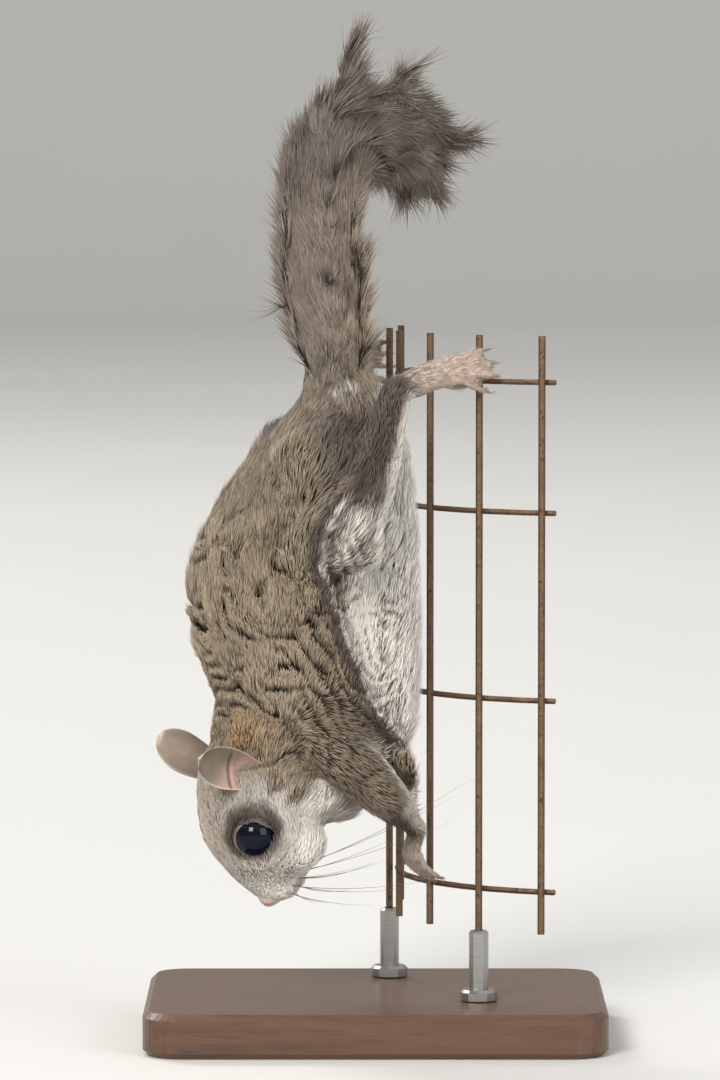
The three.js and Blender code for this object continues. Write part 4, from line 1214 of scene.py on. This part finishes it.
# %% [markdown]
# The perch and the stand keep the frame's own solids and only get a finish. The wires are old
# metal that has gone bronze-brown, with small rust spots. Where a spot lies, the metal shines
# less, so the spot mask drives colour and metal at once, and the rust noise drives roughness.

# %% Weathered wire
wire_finish = Finish("weathered_wire", Metallic=0.7)
rust = wire_finish.noise(240, 5, 0.65)
spots = ((wire_finish.noise(900, 3) - 0.52) * 6).clamp()
metal = rust.mix(rgb("4a3a2e"), rgb("8a7058"))
wire_finish.feed(Base_Color=spots.mix(metal, rgb("3a2418")))
wire_finish.feed(Roughness=0.38 + 0.35 * rust, Metallic=0.85 - 0.6 * spots)
wire_finish.bump(rust + spots * 0.6, 0.5, 0.00025)
print("wire nodes:", len(wire_finish.tree.nodes))

# %% [markdown]
# The rods are brushed steel. A brush leaves rings round a rod, so the noise is squeezed along
# its height. The base is oiled dark wood. Its grain is noise drawn out along the long side, and
# its pores are finer noise, cut off so that only the peaks are left.

# %% Steel and wood
rod_finish = Finish("brushed_rod", Metallic=1.0)
brushed = rod_finish.noise(160, 4, 0.6, rod_finish.stretched((1, 1, 26)))
steel = brushed.mix(rgb("8d8c8a"), rgb("bdbcb9"))
rod_finish.feed(Base_Color=steel, Roughness=0.24 + 0.2 * brushed)
rod_finish.bump(brushed, 0.2, 0.0001)

base_finish = Finish("oiled_wood", Coat_Weight=0.25, Coat_Roughness=0.25)
grain_place = base_finish.stretched((2.2, 26, 26))
grain = base_finish.noise(11, 6, 0.62, grain_place)
pores = ((base_finish.noise(90, 3, 0.6, base_finish.stretched((1, 14, 14))) - 0.55) * 5).clamp()
wood = grain.mix(rgb("2c1b12"), rgb("6e4a30"))
base_finish.feed(Base_Color=(pores * 0.5).mix(wood, rgb("1c110b")), Roughness=0.36 + 0.18 * grain)
base_finish.bump(grain + pores * -0.8, 0.25, 0.0003)
print("wood nodes:", len(base_finish.tree.nodes))

# %% [markdown]
# Each solid of the perch and the stand takes the finish that its name asks for. Only the
# material changes: the mesh stays the frame's own.

# %% Dress the perch and the stand
for name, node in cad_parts.items():
    if name.startswith("stand_rod"):
        look = rod_finish
    elif name == "stand_base":
        look = base_finish
    elif "upright" in name or "hoop" in name:
        look = wire_finish
    else:
        continue
    node.data.materials.clear()
    node.data.materials.append(look.material)
print("perch and stand dressed")

# %% [markdown]
# The room is a pale round floor that curves up into a wall on every side, so each view has the
# same plain ground and no corner shows.


# %% Floor
def bowl(rows=60, cols=96, flat=4.5, high=5.0):
    """A flat round floor that turns up into a wall all round. The distance out grows with the row;
    past the flat part the profile follows a quarter of an ellipse."""
    t = np.linspace(0, 1, rows)[:, None]
    angle = np.linspace(0, 2 * np.pi, cols, endpoint=False)[None]
    turn = np.clip((t - 0.5) / 0.5, 0, 1) * np.pi / 2
    out = 0.01 + flat * np.clip(t / 0.5, 0, 1) ** 2 + 2.5 * np.sin(turn)
    up = high * (1 - np.cos(turn))
    grid = np.stack([out * np.cos(angle), out * np.sin(angle), up + 0 * angle], -1)
    row, col = np.meshgrid(np.arange(rows - 1), np.arange(cols), indexing="ij")
    a, b = row * cols + col, row * cols + (col + 1) % cols
    sides = np.stack([a.ravel(), (a + cols).ravel(), (b + cols).ravel(), b.ravel()], 1)
    i = np.arange(cols // 2 - 1)
    middle = np.stack([i, i + 1, cols - 2 - i, cols - 1 - i], 1)
    return grid.reshape(-1, 3), np.concatenate([sides, middle])


floor = make_mesh("floor", *bowl())
floor.data.shade_smooth()
floor_finish = Finish("floor", Roughness=0.8)
floor_finish.feed(Base_Color=floor_finish.noise(2, 2).mix(rgb("c9c7c3"), rgb("d1cfcb")))
floor.data.materials.append(floor_finish.material)
floor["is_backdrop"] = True
print("floor faces:", len(floor.data.polygons))

# %% [markdown]
# Studio light is soft because the lamps are big and near. The key stands at the camera's left, a
# wider and weaker fill at its right whitens the belly, and a rim light behind lifts the hair from
# the ground. The room itself gives a faint even light.


# %% Light
def lamp(name, place, size, power, warmth=(1, 1, 1)):
    """A square soft light at place, in metres, turned to look at the animal."""
    light = bpy.data.lights.new(name, "AREA")
    light.size, light.energy, light.color = size, power, warmth
    thing = bpy.data.objects.new(name, light)
    thing.location = place
    aim = np.array([-0.01, 0, 0.11]) - np.array(place)
    thing.rotation_euler = (
        math.atan2(np.hypot(aim[0], aim[1]), -aim[2]),
        0,
        math.atan2(aim[1], aim[0]) - math.pi / 2,
    )
    bpy.context.scene.collection.objects.link(thing)


lamp("key", (-1.0, -2.3, 1.7), 1.0, 82, (1, 0.98, 0.95))
lamp("fill", (2.0, -2.0, 1.1), 1.7, 42, (0.95, 0.97, 1))
lamp("rim", (-1.4, 1.7, 1.9), 1.0, 38)
world = bpy.data.worlds.new("room")
world.use_nodes = True
world.node_tree.nodes["Background"].inputs["Color"].default_value = (0.84, 0.85, 0.86, 1)
world.node_tree.nodes["Background"].inputs["Strength"].default_value = 0.9
bpy.context.scene.world = world

# %% [markdown]
# The camera looks at the animal's left side from a little above, from 1.5 metres away. Its lens
# follows from the height of the picture at the animal, by the rule of like triangles.

# %% Camera
AIM = np.array([-0.0035, -0.01, 0.1136])
DISTANCE, RISE = 1.5, math.radians(4)
PICTURE_ROWS, METRES_A_ROW = 1080, 0.000225  # the picture's height, and its scale at the animal
FILM = 36  # millimetres
camera = bpy.data.cameras.new("camera")
camera.sensor_width = FILM
camera.lens = FILM * DISTANCE / (PICTURE_ROWS * METRES_A_ROW)
camera.clip_start, camera.clip_end = 0.05, 20
eye_point = bpy.data.objects.new("camera", camera)
eye_point.location = AIM + DISTANCE * np.array([0, -math.cos(RISE), math.sin(RISE)])
eye_point.rotation_euler = (math.pi / 2 - RISE, 0, 0)
bpy.context.scene.collection.objects.link(eye_point)
bpy.context.scene.camera = eye_point
bpy.context.scene.view_settings.view_transform = "Standard"
print("camera lens:", round(camera.lens, 1), "mm")

# %% [markdown]
# Last, the box round everything that is shown, but for the floor, is worked out and printed.

# %% The size of what is shown
bpy.context.view_layer.update()
low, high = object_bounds()
print("visual", list(low), list(high))
